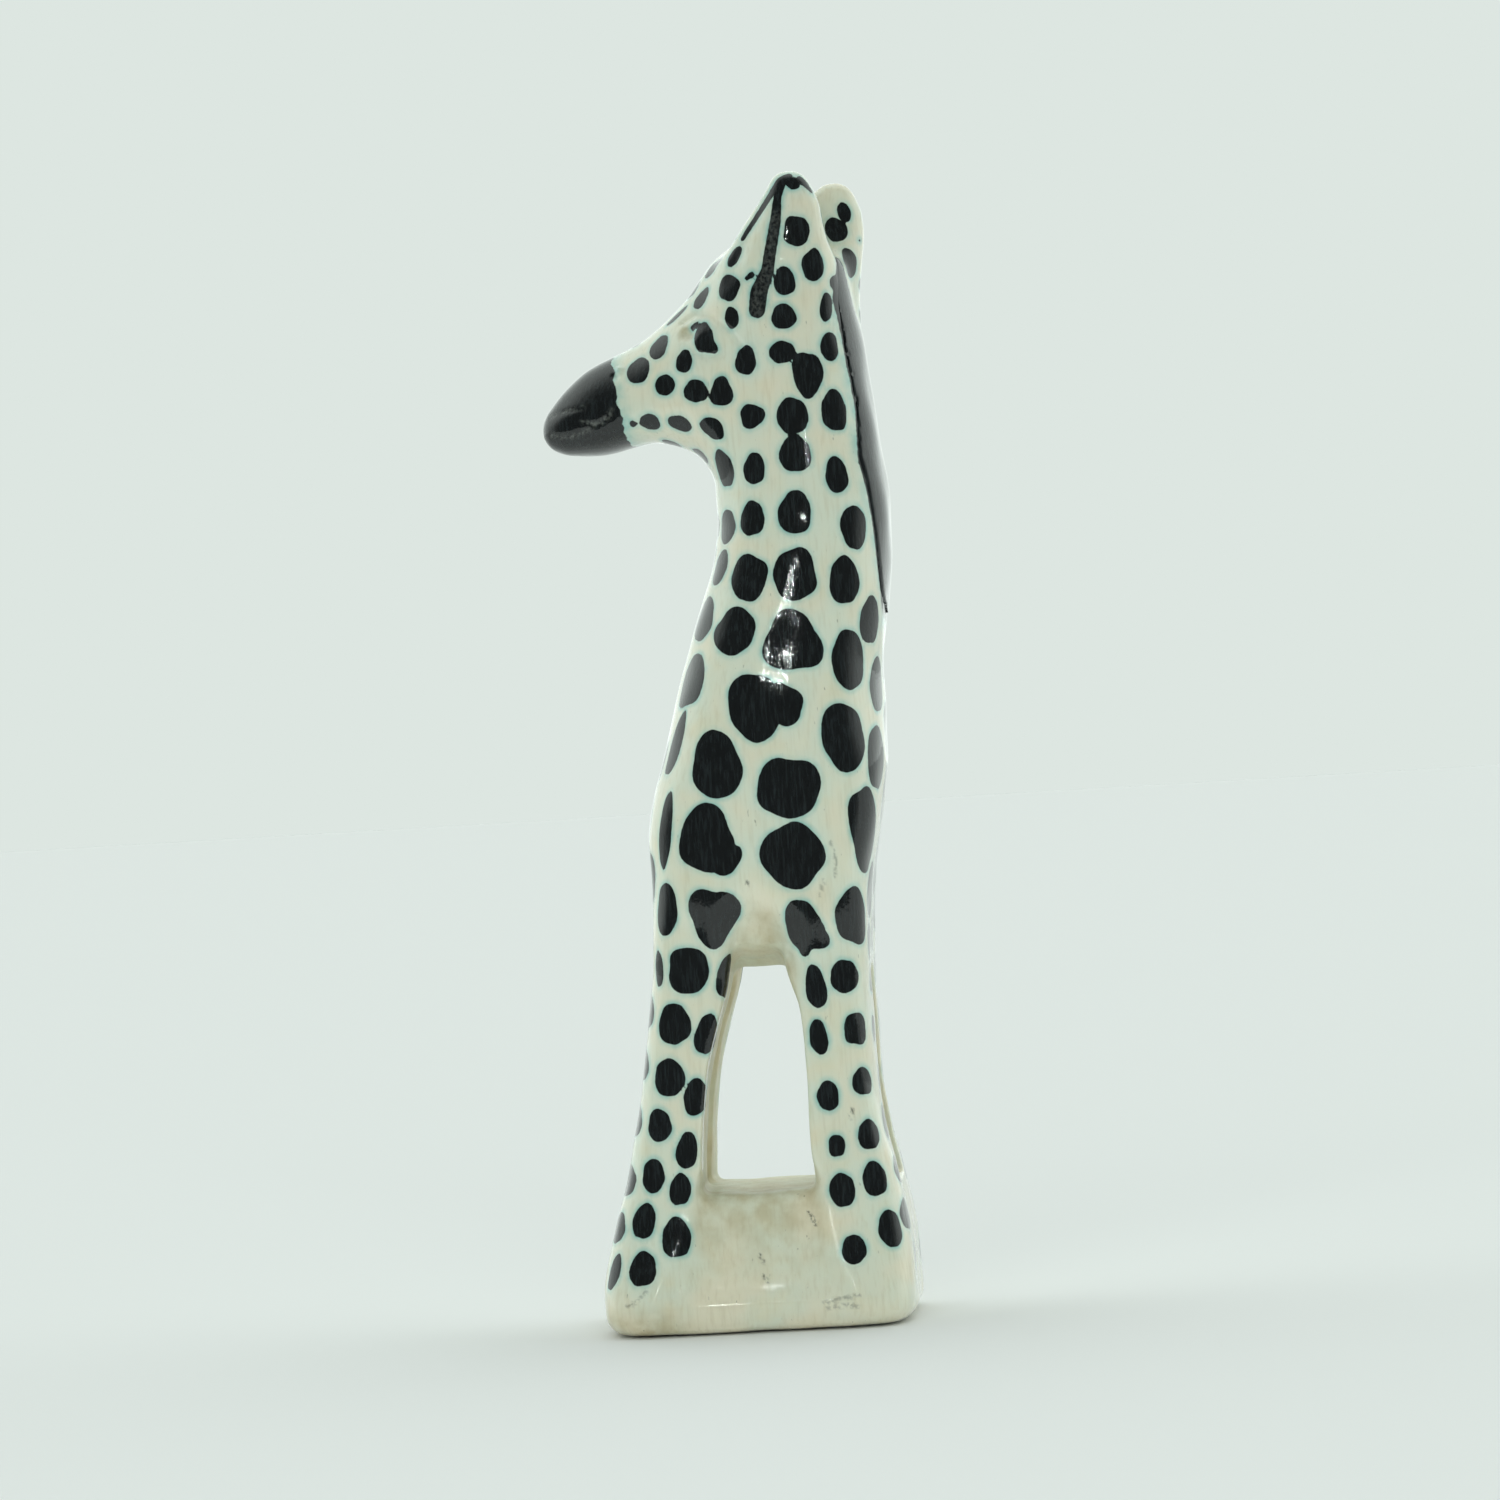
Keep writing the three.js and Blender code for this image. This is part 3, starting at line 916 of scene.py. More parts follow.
@dataclass
class Dyer:
    """Works out where the dye, the stain and the wear go on a skin, with painted shade in the belly hollow
    and a painted sheen on the left ear's band.
    """

    locator: Locator
    muzzle_edge: Curve = Curve(
        ((112, -10.6), (116, -11.0), (119, -11.35), (122, -11.75), (125, -12.3), (128, -13.1))
    )
    muzzle_low: float = 105.0
    wide_bleed: float = 0.38
    mane_bleed: float = 0.6
    mane_margin: float = 0.12
    fade: float = 6.0
    wobble: tuple[tuple[int, float], ...] = ((2, 0.02), (3, 0.025), (5, 0.018), (7, 0.012))
    least_width_shown: float = 0.22
    least_height_shown: float = 0.4
    far_size: tuple[float, float] = (0.88, 1.1)
    far_shift: float = 0.7
    spot_seed: int = 1000
    gap_seed: int = 5000
    most_gap_spots: int = 160
    least_room: float = 0.62
    gap_size: Curve = Curve(
        (
            (8, 1.7), (20, 1.7), (40, 2.1), (52, 2.9), (70, 3.3), (90, 2.8), (104, 2.1), (124, 1.7),
            (146, 1.3),
        )
    )
    gap_border: Curve = Curve(((8, 0.9), (60, 1.2), (90, 1.1), (110, 0.9), (146, 0.8)))
    eye_corner: tuple[float, float] = (-3.0, 129.8)

    def __post_init__(self) -> None:
        """Takes what it needs from the locator."""
        self.carving, self.skin = self.locator.carving, self.locator.skin
        self.seen, self.facing = self.locator.seen, self.locator.facing
        self.straight = self.locator.straight
        self.outer = self.carving.uncut(*self.straight.T)
        self.dye = np.full(len(self.skin.points), self.fade)

    def paint(self) -> None:
        """Gives the skin its painted values: dye in millimetres, and from 0 to 1 the stain with its
        painted shade and the wear with its painted sheen.
        """
        self.dye = np.minimum(self.dye, self.muzzle())
        mane = Mane().inside(*self.straight.T) - self.mane_margin
        self.dye = np.minimum(self.dye, np.where(mane > 0, self.mane_bleed * mane, mane))
        for number, spot in enumerate((*ALL_SPOTS, *EYE_SPOTS)):
            self.place_spot(number, spot)
        for stroke in EAR_STROKES:
            self.place_stroke(stroke)
        self.fill_gaps()
        self.dye = np.maximum(self.dye, self.clean_cuts())
        self.skin.paint["dye_mm"] = self.dye
        for painted in (self.stain_and_shade, self.wear_and_sheen, self.grime, self.scraped):
            self.skin.paint[painted.__name__] = painted()

    def muzzle(self) -> Array:
        """Distance from the edge of the dipped muzzle, below zero on it."""
        x, y, z = self.straight.T
        wave = 0.16 * np.sin(1.9 * z + 0.8 * y) + 0.09 * np.sin(4.3 * z - 1.7 * y)
        off = np.maximum(x - self.muzzle_edge.at(z) - wave, self.muzzle_low - z)
        return np.where(off > 0, self.wide_bleed * off, off)

    def place_spot(self, number: int, spot: Spot) -> None:
        """Dyes a spot on the left, and one much like it on the right."""
        draw = np.random.default_rng(self.spot_seed + number)
        index = self.locator.shown_at(spot.across, spot.up)
        normal = self.skin.normals[index]
        up = unit(np.array((0, 0, 1.0)) - normal[2] * normal)
        across = np.cross(up, normal)
        flatten = max(abs(float(across @ self.locator.view.right)), self.least_width_shown)
        foreshorten = max(abs(float(up[2])), self.least_height_shown)
        half_width = min(spot.half_width / flatten, 1.15 * spot.half_height + 0.6)
        half_height = spot.half_height / foreshorten
        outline = self.outline(draw, spot.corners, spot.pull, math.radians(spot.point))
        self.dye_at(index, half_width, half_height, math.radians(spot.tilt), outline)
        size = draw.uniform(*self.far_size)
        shift = draw.uniform(-self.far_shift, self.far_shift, 3)
        other = self.locator.nearest(self.locator.mirrored(index) + shift)
        outline = self.outline(draw, spot.corners, spot.pull, math.pi - math.radians(spot.point))
        self.dye_at(other, half_width * size, half_height * size, -math.radians(spot.tilt), outline)

    def outline(self, draw: np.random.Generator, corners: int, pull: float, point: float) -> Array:
        """A hand-drawn outline, as (waves around, strength, phase) rows."""
        rows = [(corners, pull, -corners * point)]
        for waves, strength in self.wobble:
            rows.append((waves, strength, draw.uniform(0, math.tau)))
        return np.array(rows)

    def dye_at(
        self, index: int, half_width: float, half_height: float, tilt: float, outline: Array
    ) -> None:
        """Lays one spot of dye on the skin.

        Args:
            index: The point of the skin in its middle.
            half_width: Half of its width, along the skin.
            half_height: Half of its height.
            tilt: How far its top leans to the left, in radians.
            outline: The rows that outline gives.
        """
        middle, normal = self.skin.points[index], self.skin.normals[index]
        reach = 1.4 * max(half_width, half_height) + self.fade
        off = self.skin.points - middle
        near = np.flatnonzero((off**2).sum(1) < reach**2)
        off = off[near]
        up = unit(np.array((0, 0, 1.0)) - normal[2] * normal)
        across = np.cross(up, normal)
        depth = off @ normal
        agree = self.skin.normals[near] @ normal
        u, v = off @ across, off @ up
        stretch = 1 + 0.25 * np.clip(-depth, 0, 4) / np.maximum(np.hypot(u, v), 1)
        u = u * stretch
        u, v = u * math.cos(tilt) + v * math.sin(tilt), v * math.cos(tilt) - u * math.sin(tilt)
        q = np.hypot(u / half_width, v / half_height)
        angle = np.arctan2(v / half_height, u / half_width)
        edge = np.ones_like(angle)
        for waves, strength, phase in outline:
            edge += strength * np.cos(waves * angle + phase)
        size = np.hypot(u, v) / np.maximum(q, 0.05)
        size = np.where(q > 0.05, size, min(half_width, half_height))
        distance = (q - edge) * size
        distance = np.where(agree > -0.1, distance, self.fade)
        distance = np.where(np.abs(depth) < 5.5, distance, self.fade)
        self.dye[near] = np.minimum(self.dye[near], distance)

    def place_stroke(self, stroke: Stroke) -> None:
        """Dyes a line on the left and its mirror image on the right."""
        found = [self.locator.shown_at(across, up) for across, up, _ in stroke.path]
        mirrored = [self.locator.nearest(self.locator.mirrored(i)) for i in found]
        for side in (found, mirrored):
            for start, end, a, b in zip(side, side[1:], stroke.path, stroke.path[1:]):
                self.line_between(start, end, a[2], b[2])

    def line_between(self, start: int, end: int, half_start: float, half_end: float) -> None:
        """Dyes a straight, tapering line between two points of the skin."""
        first, last = self.skin.points[start], self.skin.points[end]
        facing = unit(self.skin.normals[start] + self.skin.normals[end])
        distance = tapered_rod(*self.skin.points.T, (*first, half_start), (*last, half_end))
        agree = self.skin.normals @ facing
        distance = np.where(agree > -0.2, distance, self.fade)
        self.dye = np.minimum(self.dye, distance)

    def fill_gaps(self) -> None:
        """Adds spots where the front, the back and the right side would be left bare."""
        x, y, z = self.straight.T
        on_blank = (np.abs(self.outer) < 0.35) & (self.skin.normals[:, 2] < 0.6)
        off_slot = (z > 50) | (np.abs(y) > 6.0)
        room_for_spots = on_blank & off_slot & (z > 8)
        behind_nose = (z < 146) & (x > -11) & (self.facing < 0.15)
        below_nose = (z < 92) & (self.facing < 0.05)
        choice = np.flatnonzero(room_for_spots & (behind_nose | below_nose))
        for number in range(self.most_gap_spots):
            room = self.dye[choice] - self.gap_border.at(z[choice])
            share = room / self.gap_size.at(z[choice])
            best = int(np.argmax(share))
            if share[best] < self.least_room:
                break
            index = int(choice[best])
            draw = np.random.default_rng(self.gap_seed + number)
            half = float(min(room[best], self.gap_size.at(z[index]) * draw.uniform(0.85, 1.05)))
            tall = draw.uniform(1.05, 1.3)
            outline = self.outline(draw, int(draw.integers(3, 5)), 0.05, draw.uniform(0, math.tau))
            self.dye_at(index, half, half * tall, draw.uniform(-0.2, 0.2), outline)
        log.info("filled with %d more spots", number)

    def stain_and_shade(self) -> Array:
        """Where cut faces kept the brown of the inner bone, with painted shade darkening the belly hollow
        further; browner also at the near eye's inner corner and towards the bottom of the base's front
        end.
        """
        x, y, z = self.straight.T
        cut_deep = ramp(-self.outer, 0.35, 1.6) * (z < 60)
        above_plinth = ramp(z, 17, 20)
        side = np.abs(y)
        scoop = ellipsoid(x, side, z, self.carving.openings.scoop, self.carving.openings.scoop_radii)
        stain_and_shade = cut_deep * (0.34 - 0.1 * above_plinth)
        stain_and_shade = np.maximum(stain_and_shade, self.on_panel() * ramp(z, 2.0, 19.0) * 0.42)
        # Painted shade over the brown: the belly hollow is darkened at full strength from its middle up.
        stain_and_shade = np.maximum(stain_and_shade, ramp(-scoop, -0.7, 0.9) * ramp(z, 42, 47))
        for ear in self.carving.ears:
            stain_and_shade = np.maximum(stain_and_shade, 0.3 * ramp(-ear.hollow(x, y, z), -0.3, 0.4))
        eye = np.hypot(*(self.seen - np.array(self.eye_corner)).T)
        pit = 0.95 * ramp(1.5 - eye, 0, 1.0) * (self.facing > 0)
        low_rim = 0.6 * ramp(5 - z, 0, 4) * ramp(-x, 6, 14)
        return np.clip(np.maximum.reduce((stain_and_shade, pit, low_rim)), 0, 1)

    def clean_cuts(self) -> Array:
        """The least dye distance allowed, which keeps the inside of the cuts free of dye."""
        y, z = self.straight[:, 1], self.straight[:, 2]
        inside = ramp(-self.outer, 0.7, 1.5) * (z < 50) * (np.abs(y) < 9.5)
        return 8.0 * inside - 6.0

    def scraped(self) -> Array:
        """Where the inside of the cuts and the base panels were left rough from the file."""
        z = self.straight[:, 2]
        inside_cuts = ramp(-self.outer, 1.8, 3.0) * (z < 52)
        return np.maximum(inside_cuts, 0.75 * self.on_panel() * ramp(z, 5.4, 7.2))

    def on_panel(self) -> Array:
        """Where the filed panels of the base are, from 0 to 1."""
        x, y, z = self.straight.T
        openings = self.carving.openings
        across = np.minimum(x - openings.panel_fore.at(z), openings.panel_hind.at(z) - x)
        return ramp(across, -1.6, 0.8) * ramp(z, 3.5, 7.0) * ramp(20 - z, 0, 1) * (np.abs(y) > 9)

    def wear_and_sheen(self) -> Array:
        """Where the muzzle's dye is scratched, and where a painted sheen greys the left ear's black band.
        """
        worn_and_sheen = np.zeros(len(self.skin.points))
        for path in MUZZLE_SCRATCHES:
            worn_and_sheen = np.maximum(worn_and_sheen, ramp(0.5 - self.along(path), 0, 0.45))
        # Painted sheen: the left ear's black band is lightened to grey.
        return np.maximum(worn_and_sheen, 0.6 * ramp(1.6 - self.along(EAR_BAND_PAINTED_SHEEN), 0, 1.4))

    def grime(self) -> Array:
        """Where dirt sits in scratches and specks."""
        dirty = np.zeros(len(self.skin.points))
        for path, half_width, strength in GRIME:
            dirty = np.maximum(dirty, strength * ramp(half_width - self.along(path), 0, 0.6 * half_width))
        return dirty

    def along(self, path: tuple[tuple[float, float], ...]) -> Array:
        """Distance from a line over the skin, given where it appears from the left."""
        found = [self.skin.points[self.locator.shown_at(*place)] for place in path]
        return off_line(self.skin.points, found)


@dataclass(frozen=True)
class Relief:
    """A small carved mark: a line on the skin that is sunk or raised."""

    path: tuple[tuple[float, float], ...]
    half_width: float
    height: float


EYE_RELIEF = (
    Relief(((-0.9, 129.3), (0.0, 129.0)), 2.5, 0.5),
    Relief(((-3.4, 129.9), (-2.8, 129.8)), 1.2, -0.5),
    Relief(((-3.6, 131.4), (-1.8, 132.4), (0.2, 131.8), (2.4, 129.9), (3.9, 127.8)), 0.7, -0.34),
    Relief(((-2.4, 127.4), (-0.6, 126.5), (1.6, 126.9)), 0.7, -0.24),
)
FACE_RELIEF = (
    Relief(((-12.2, 125.7), (-12.0, 125.5)), 0.8, 0.4),
    Relief(((-12.9, 124.8), (-12.7, 124.6)), 0.5, -0.25),
    *(Relief(path, 0.55, -0.1) for path in MUZZLE_SCRATCHES),
)
TOOL_MARKS = (
    Relief(((-0.6, 47.6), (2.2, 47.2), (5.4, 47.5)), 0.8, -0.16),
    Relief(((-0.8, 49.2), (2.0, 48.8), (5.8, 49.2)), 0.7, -0.14),
    Relief(((-1.6, 49.4), (-0.4, 52.2)), 0.7, -0.14),
    Relief(((6.4, 49.6), (5.6, 52.6)), 0.7, -0.12),
    Relief(((6.0, 13.9), (6.9, 12.4)), 0.45, -0.14),
    Relief(((-8.0, 15.6), (-6.8, 14.2), (-6.4, 12.4)), 0.6, -0.14),
    Relief(((8.6, 17.2), (9.0, 14.8)), 0.6, -0.12),
)


@dataclass
class Gouge:
    """Cuts the small marks into a skin by moving its points along their normals."""

    locator: Locator

    def work(self) -> None:
        """Carves every mark on both sides of the figure."""
        skin = self.locator.skin
        moves = np.zeros(len(skin.points))
        for mark in (*EYE_RELIEF, *FACE_RELIEF, *TOOL_MARKS):
            found = [self.locator.shown_at(*place) for place in mark.path]
            left = [skin.points[i] for i in found]
            right = [self.locator.mirrored(i) for i in found]
            for side in (left, right):
                off = off_line(skin.points, side)
                moves += mark.height * ramp(mark.half_width - off, 0, mark.half_width)
        skin.points = skin.points + moves[:, None] * skin.normals
        skin.find_normals()


# Finishes.


def linear(hex_colour: str) -> tuple[float, float, float, float]:
    """An sRGB colour such as "#ccd0bd" as linear red, green, blue and alpha."""
    parts = [int(hex_colour[i : i + 2], 16) / 255 for i in (1, 3, 5)]
    bent = [c / 12.92 if c <= 0.04045 else ((c + 0.055) / 1.055) ** 2.4 for c in parts]
    return (*bent, 1.0)


def add_node(
    tree: bpy.types.NodeTree,
    kind: str,
    sockets: dict[int | str, object],
    out: int | str = 0,
    **settings: object,
) -> bpy.types.NodeSocket | None:
    """Adds a node.

    Args:
        tree: The tree it goes in.
        kind: Its type name, after the "ShaderNode" that they all begin with.
        sockets: What each input gets, by name or number: an output, a value or a hex colour.
        out: The output that is wanted, by name or number.
        **settings: Its properties.

    Returns:
        That output, or None for a node without outputs.
    """
    made = tree.nodes.new(f"ShaderNode{kind}")
    for name, value in settings.items():
        setattr(made, name, value)
    for key, value in sockets.items():
        if isinstance(value, bpy.types.NodeSocket):
            tree.links.new(made.inputs[key], value)
        else:
            made.inputs[key].default_value = linear(value) if isinstance(value, str) else value
    return made.outputs[out] if len(made.outputs) else None


@dataclass(frozen=True)
class Pattern:
    """A random pattern with features of a real size, cut to a band of its values."""

    size_mm: float
    detail: float
    band: tuple[float, float] = (0.0, 1.0)
    gives: tuple[float, float] = (0.0, 1.0)
    stretch: float = 1.0
    curve: str = "SMOOTHSTEP"

    def on(self, tree: bpy.types.NodeTree, place: bpy.types.NodeSocket) -> bpy.types.NodeSocket:
        """Draws the pattern; a stretched one runs up the shaft, as the grain of bone does."""
        if self.stretch > 1:
            squeeze = (1.0, 1.0, 1.0 / self.stretch)
            place = add_node(tree, "Mapping", {"Vector": place, "Scale": squeeze})
        features = {"Vector": place, "Scale": 1 / (self.size_mm * MM), "Detail": self.detail}
        noise = add_node(tree, "TexNoise", features, "Fac")
        cut_to = dict(enumerate((noise, *self.band, *self.gives)))
        return add_node(tree, "MapRange", cut_to, interpolation_type=self.curve)


PAINTED = ("dye_mm", "stain_and_shade", "wear_and_sheen", "grime", "scraped")
PATTERNS = {
    "ragged": Pattern(0.7, 3.0, gives=(-0.08, 0.08), curve="LINEAR"),
    "cloud": Pattern(9.0, 2.0, (0.35, 0.65)),
    "patch": Pattern(5.0, 3.0, (0.5, 0.75), (0.0, 0.5)),
    "blotch": Pattern(2.6, 4.0, (0.25, 0.75), (0.35, 1.35)),
    "streak": Pattern(0.5, 3.0, (0.45, 0.75), (0.0, 0.16), stretch=9.0),
    # Real pores are finer than 0.1 mm, and are drawn coarser so that they show.
    "pore": Pattern(0.32, 1.0, (0.73, 0.79), stretch=3.5),
    "pore_zone": Pattern(6.0, 2.0, (0.42, 0.62), (0.0, 0.5)),
    "speck": Pattern(0.5, 4.0, (0.35, 0.6)),
    "uneven": Pattern(2.4, 3.0, (0.3, 0.7), (0.2, 0.85)),
    "grain": Pattern(0.35, 3.0, (0.4, 0.8), stretch=7.0),
    # Breaks up both the muzzle's scratches and the painted sheen on the left ear's band.
    "scratch_and_sheen": Pattern(0.45, 4.0, (0.35, 0.7), (0.0, 0.7)),
    "scrape": Pattern(0.42, 3.0, stretch=6.0, curve="LINEAR"),
    "pits": Pattern(0.6, 3.0, gives=(0.0, 0.6), curve="LINEAR"),
}


@dataclass(frozen=True)
class LacqueredBone:
    """Bleached bone, polished, spotted with black dye and dipped in clear lacquer.

    The eye sees an ivory ground with a faint green cast, browner where cuts went deep, darker still in
    the belly hollow where painted shade lies over the brown, with tiny dark pores that run up the shaft.
    Black dye has bled a blue-green rim into it, and a grey painted sheen lies along the left ear's black
    band. The lacquer is wet-looking, and the fine scrapes under it break its highlights into upright
    sparks. Where a file left the cut rough, the bone has soaked up the lacquer and looks nearly matt.
    """

    name: str = "bleached_bone_dyed_and_lacquered"
    ground: str = "#eae3cc"
    ground_cool: str = "#e2e6d4"
    ground_warm: str = "#e6dcbd"
    # Brown of the inner bone, also laid as painted shade in the belly hollow.
    stain_and_shade: str = "#ab9765"
    tint: str = "#cfe3d8"
    halo: str = "#86c0ba"
    dye: str = "#0d1012"
    dye_thin: str = "#22282a"
    # Grey of scratched dye, and of the painted sheen on the left ear's band.
    dye_worn_and_sheen: str = "#6e716c"
    pore: str = "#4a4534"
    grime: str = "#34352f"
    roughness: float = 0.42
    lacquer_roughness: float = 0.055
    lacquer_ior: float = 1.56
    bone_ior: float = 1.5
    bone_shine: float = 0.06
    dye_edge_mm: float = 0.05
    tint_mm: float = 2.6
    tint_power: float = 1.6
    tint_strength: float = 0.42
    halo_mm: float = 0.8
    halo_power: float = 1.4
    scrape_mm: float = 0.06
    film_mm: float = 0.013
    scraped_gain: float = 9.0
    scraped_coat: float = 0.1

    def make(self) -> bpy.types.Material:
        """Builds the material."""
        material = bpy.data.materials.new(self.name)
        material.use_nodes = True
        tree = material.node_tree
        tree.nodes.clear()
        add = partial(add_node, tree)
        times = partial(add, "Math", operation="MULTIPLY")
        place = add("TexCoord", {}, "Object")
        drawn = {name: pattern.on(tree, place) for name, pattern in PATTERNS.items()}
        painted = {}
        for name in PAINTED:
            source = {"attribute_type": "GEOMETRY", "attribute_name": name}
            painted[name] = add("Attribute", {}, "Fac", **source)
        dye = add("Math", {0: painted["dye_mm"], 1: drawn["ragged"]}, operation="ADD")
        bled = []
        for reach, power, strength in (
            (self.tint_mm, self.tint_power, self.tint_strength),
            (self.halo_mm, self.halo_power, drawn["uneven"]),
        ):
            near = add("MapRange", {0: dye, 1: 0.0, 2: reach, 3: 1.0, 4: 0.0})
            near = add("Math", {0: near, 1: power}, operation="POWER")
            bled.append(times({0: near, 1: strength}))
        # Scratched muzzle dye, and the painted sheen on the left ear's band, both turn the dye grey.
        worn_and_sheen = times({0: painted["wear_and_sheen"], 1: drawn["scratch_and_sheen"]})
        black = self.layers(tree, self.dye, (drawn["grain"], self.dye_thin), (worn_and_sheen, self.dye_worn_and_sheen))
        edge = {0: dye, 1: -self.dye_edge_mm, 2: self.dye_edge_mm, 3: 1.0, 4: 0.0}
        colour = self.layers(
            tree,
            self.ground,
            (drawn["cloud"], self.ground_cool),
            (drawn["patch"], self.ground_warm),
            # The inner bone's brown, with painted shade in the belly hollow.
            (times({0: painted["stain_and_shade"], 1: drawn["blotch"]}), self.stain_and_shade),
            (drawn["streak"], self.stain_and_shade),
            (times({0: drawn["pore"], 1: drawn["pore_zone"]}), self.pore),
            (times({0: painted["grime"], 1: drawn["speck"]}), self.grime),
            (bled[0], self.tint),
            (bled[1], self.halo),
            (add("MapRange", edge, interpolation_type="SMOOTHSTEP"), black),
        )
        under = add("Math", {0: drawn["scrape"], 1: drawn["pits"]}, operation="ADD")
        rougher = add("MapRange", {0: painted["scraped"], 3: 1.0, 4: self.scraped_gain})
        over = times({0: under, 1: rougher})
        soaked = {0: painted["scraped"], 3: 1.0, 4: self.scraped_coat}
        shader = {
            "Base Color": colour,
            "Roughness": self.roughness,
            "IOR": self.bone_ior,
            "Specular IOR Level": self.bone_shine,
            "Normal": add("Bump", {"Height": under, "Strength": 0.5, "Distance": self.scrape_mm * MM}),
            "Coat Weight": add("MapRange", soaked),
            "Coat Roughness": self.lacquer_roughness,
            "Coat IOR": self.lacquer_ior,
            "Coat Normal": add("Bump", {"Height": over, "Strength": 1.0, "Distance": self.film_mm * MM}),
            "Subsurface Weight": 0.08,
            "Subsurface Radius": (1.0, 0.8, 0.5),
            "Subsurface Scale": 0.0008,
        }
        add("OutputMaterial", {"Surface": add("BsdfPrincipled", shader)})
        return material

    def layers(
        self, tree: bpy.types.NodeTree, first: str, *over: tuple[bpy.types.NodeSocket, object]
    ) -> bpy.types.NodeSocket:
        """Colours laid over the first one in turn, each as (how much of it, which)."""
        colour = first
        for share, laid in over:
            colour = add_node(tree, "Mix", {0: share, 6: colour, 7: laid}, 2, data_type="RGBA")
        return colour


@dataclass(frozen=True)
class DyedRidge(LacqueredBone):
    """The same bone where it is dyed right through: the mane, black and grey with rubbed streaks."""

    name: str = "bone_mane_dyed_and_lacquered"
    dye: str = "#14181a"
    dye_thin: str = "#343a3a"
    dye_worn_and_sheen: str = "#8a908b"


# Parting the skin into named pieces.


@dataclass(frozen=True)
class Side:
    """One plane that bounds a region: a point on it and the direction that leaves the region."""

    point: tuple[float, float, float]
    outward: tuple[float, float, float]


@dataclass(frozen=True)
class Region:
    """A named region of the carving, between planes."""

    name: str
    slot: Slot
    sides: tuple[Side, ...]


def mesh_of(name: str, skin: Skin, paint: dict[str, Array]) -> bpy.types.Mesh:
    """A skin as a Blender mesh, with painted values on its points."""
    mesh = bpy.data.meshes.new(name)
    mesh.from_pydata(skin.points * MM, [], skin.faces.tolist())
    for key, values in paint.items():
        attribute = mesh.attributes.new(key, "FLOAT", "POINT")
        attribute.data.foreach_set("value", values.astype(np.float32))
    return mesh


def stand_for(
    name: str, mesh: bpy.types.Mesh, material: bpy.types.Material
) -> bpy.types.Object:
    """Makes a visible piece of a mesh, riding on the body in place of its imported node."""
    piece = bpy.data.objects.new(f"carved_{name}", mesh)
    bpy.context.collection.objects.link(piece)
    mesh.materials.append(material)
    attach(piece, "root")
    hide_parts(name)
    log.info("%s: %d faces", piece.name, len(mesh.polygons))
    return piece


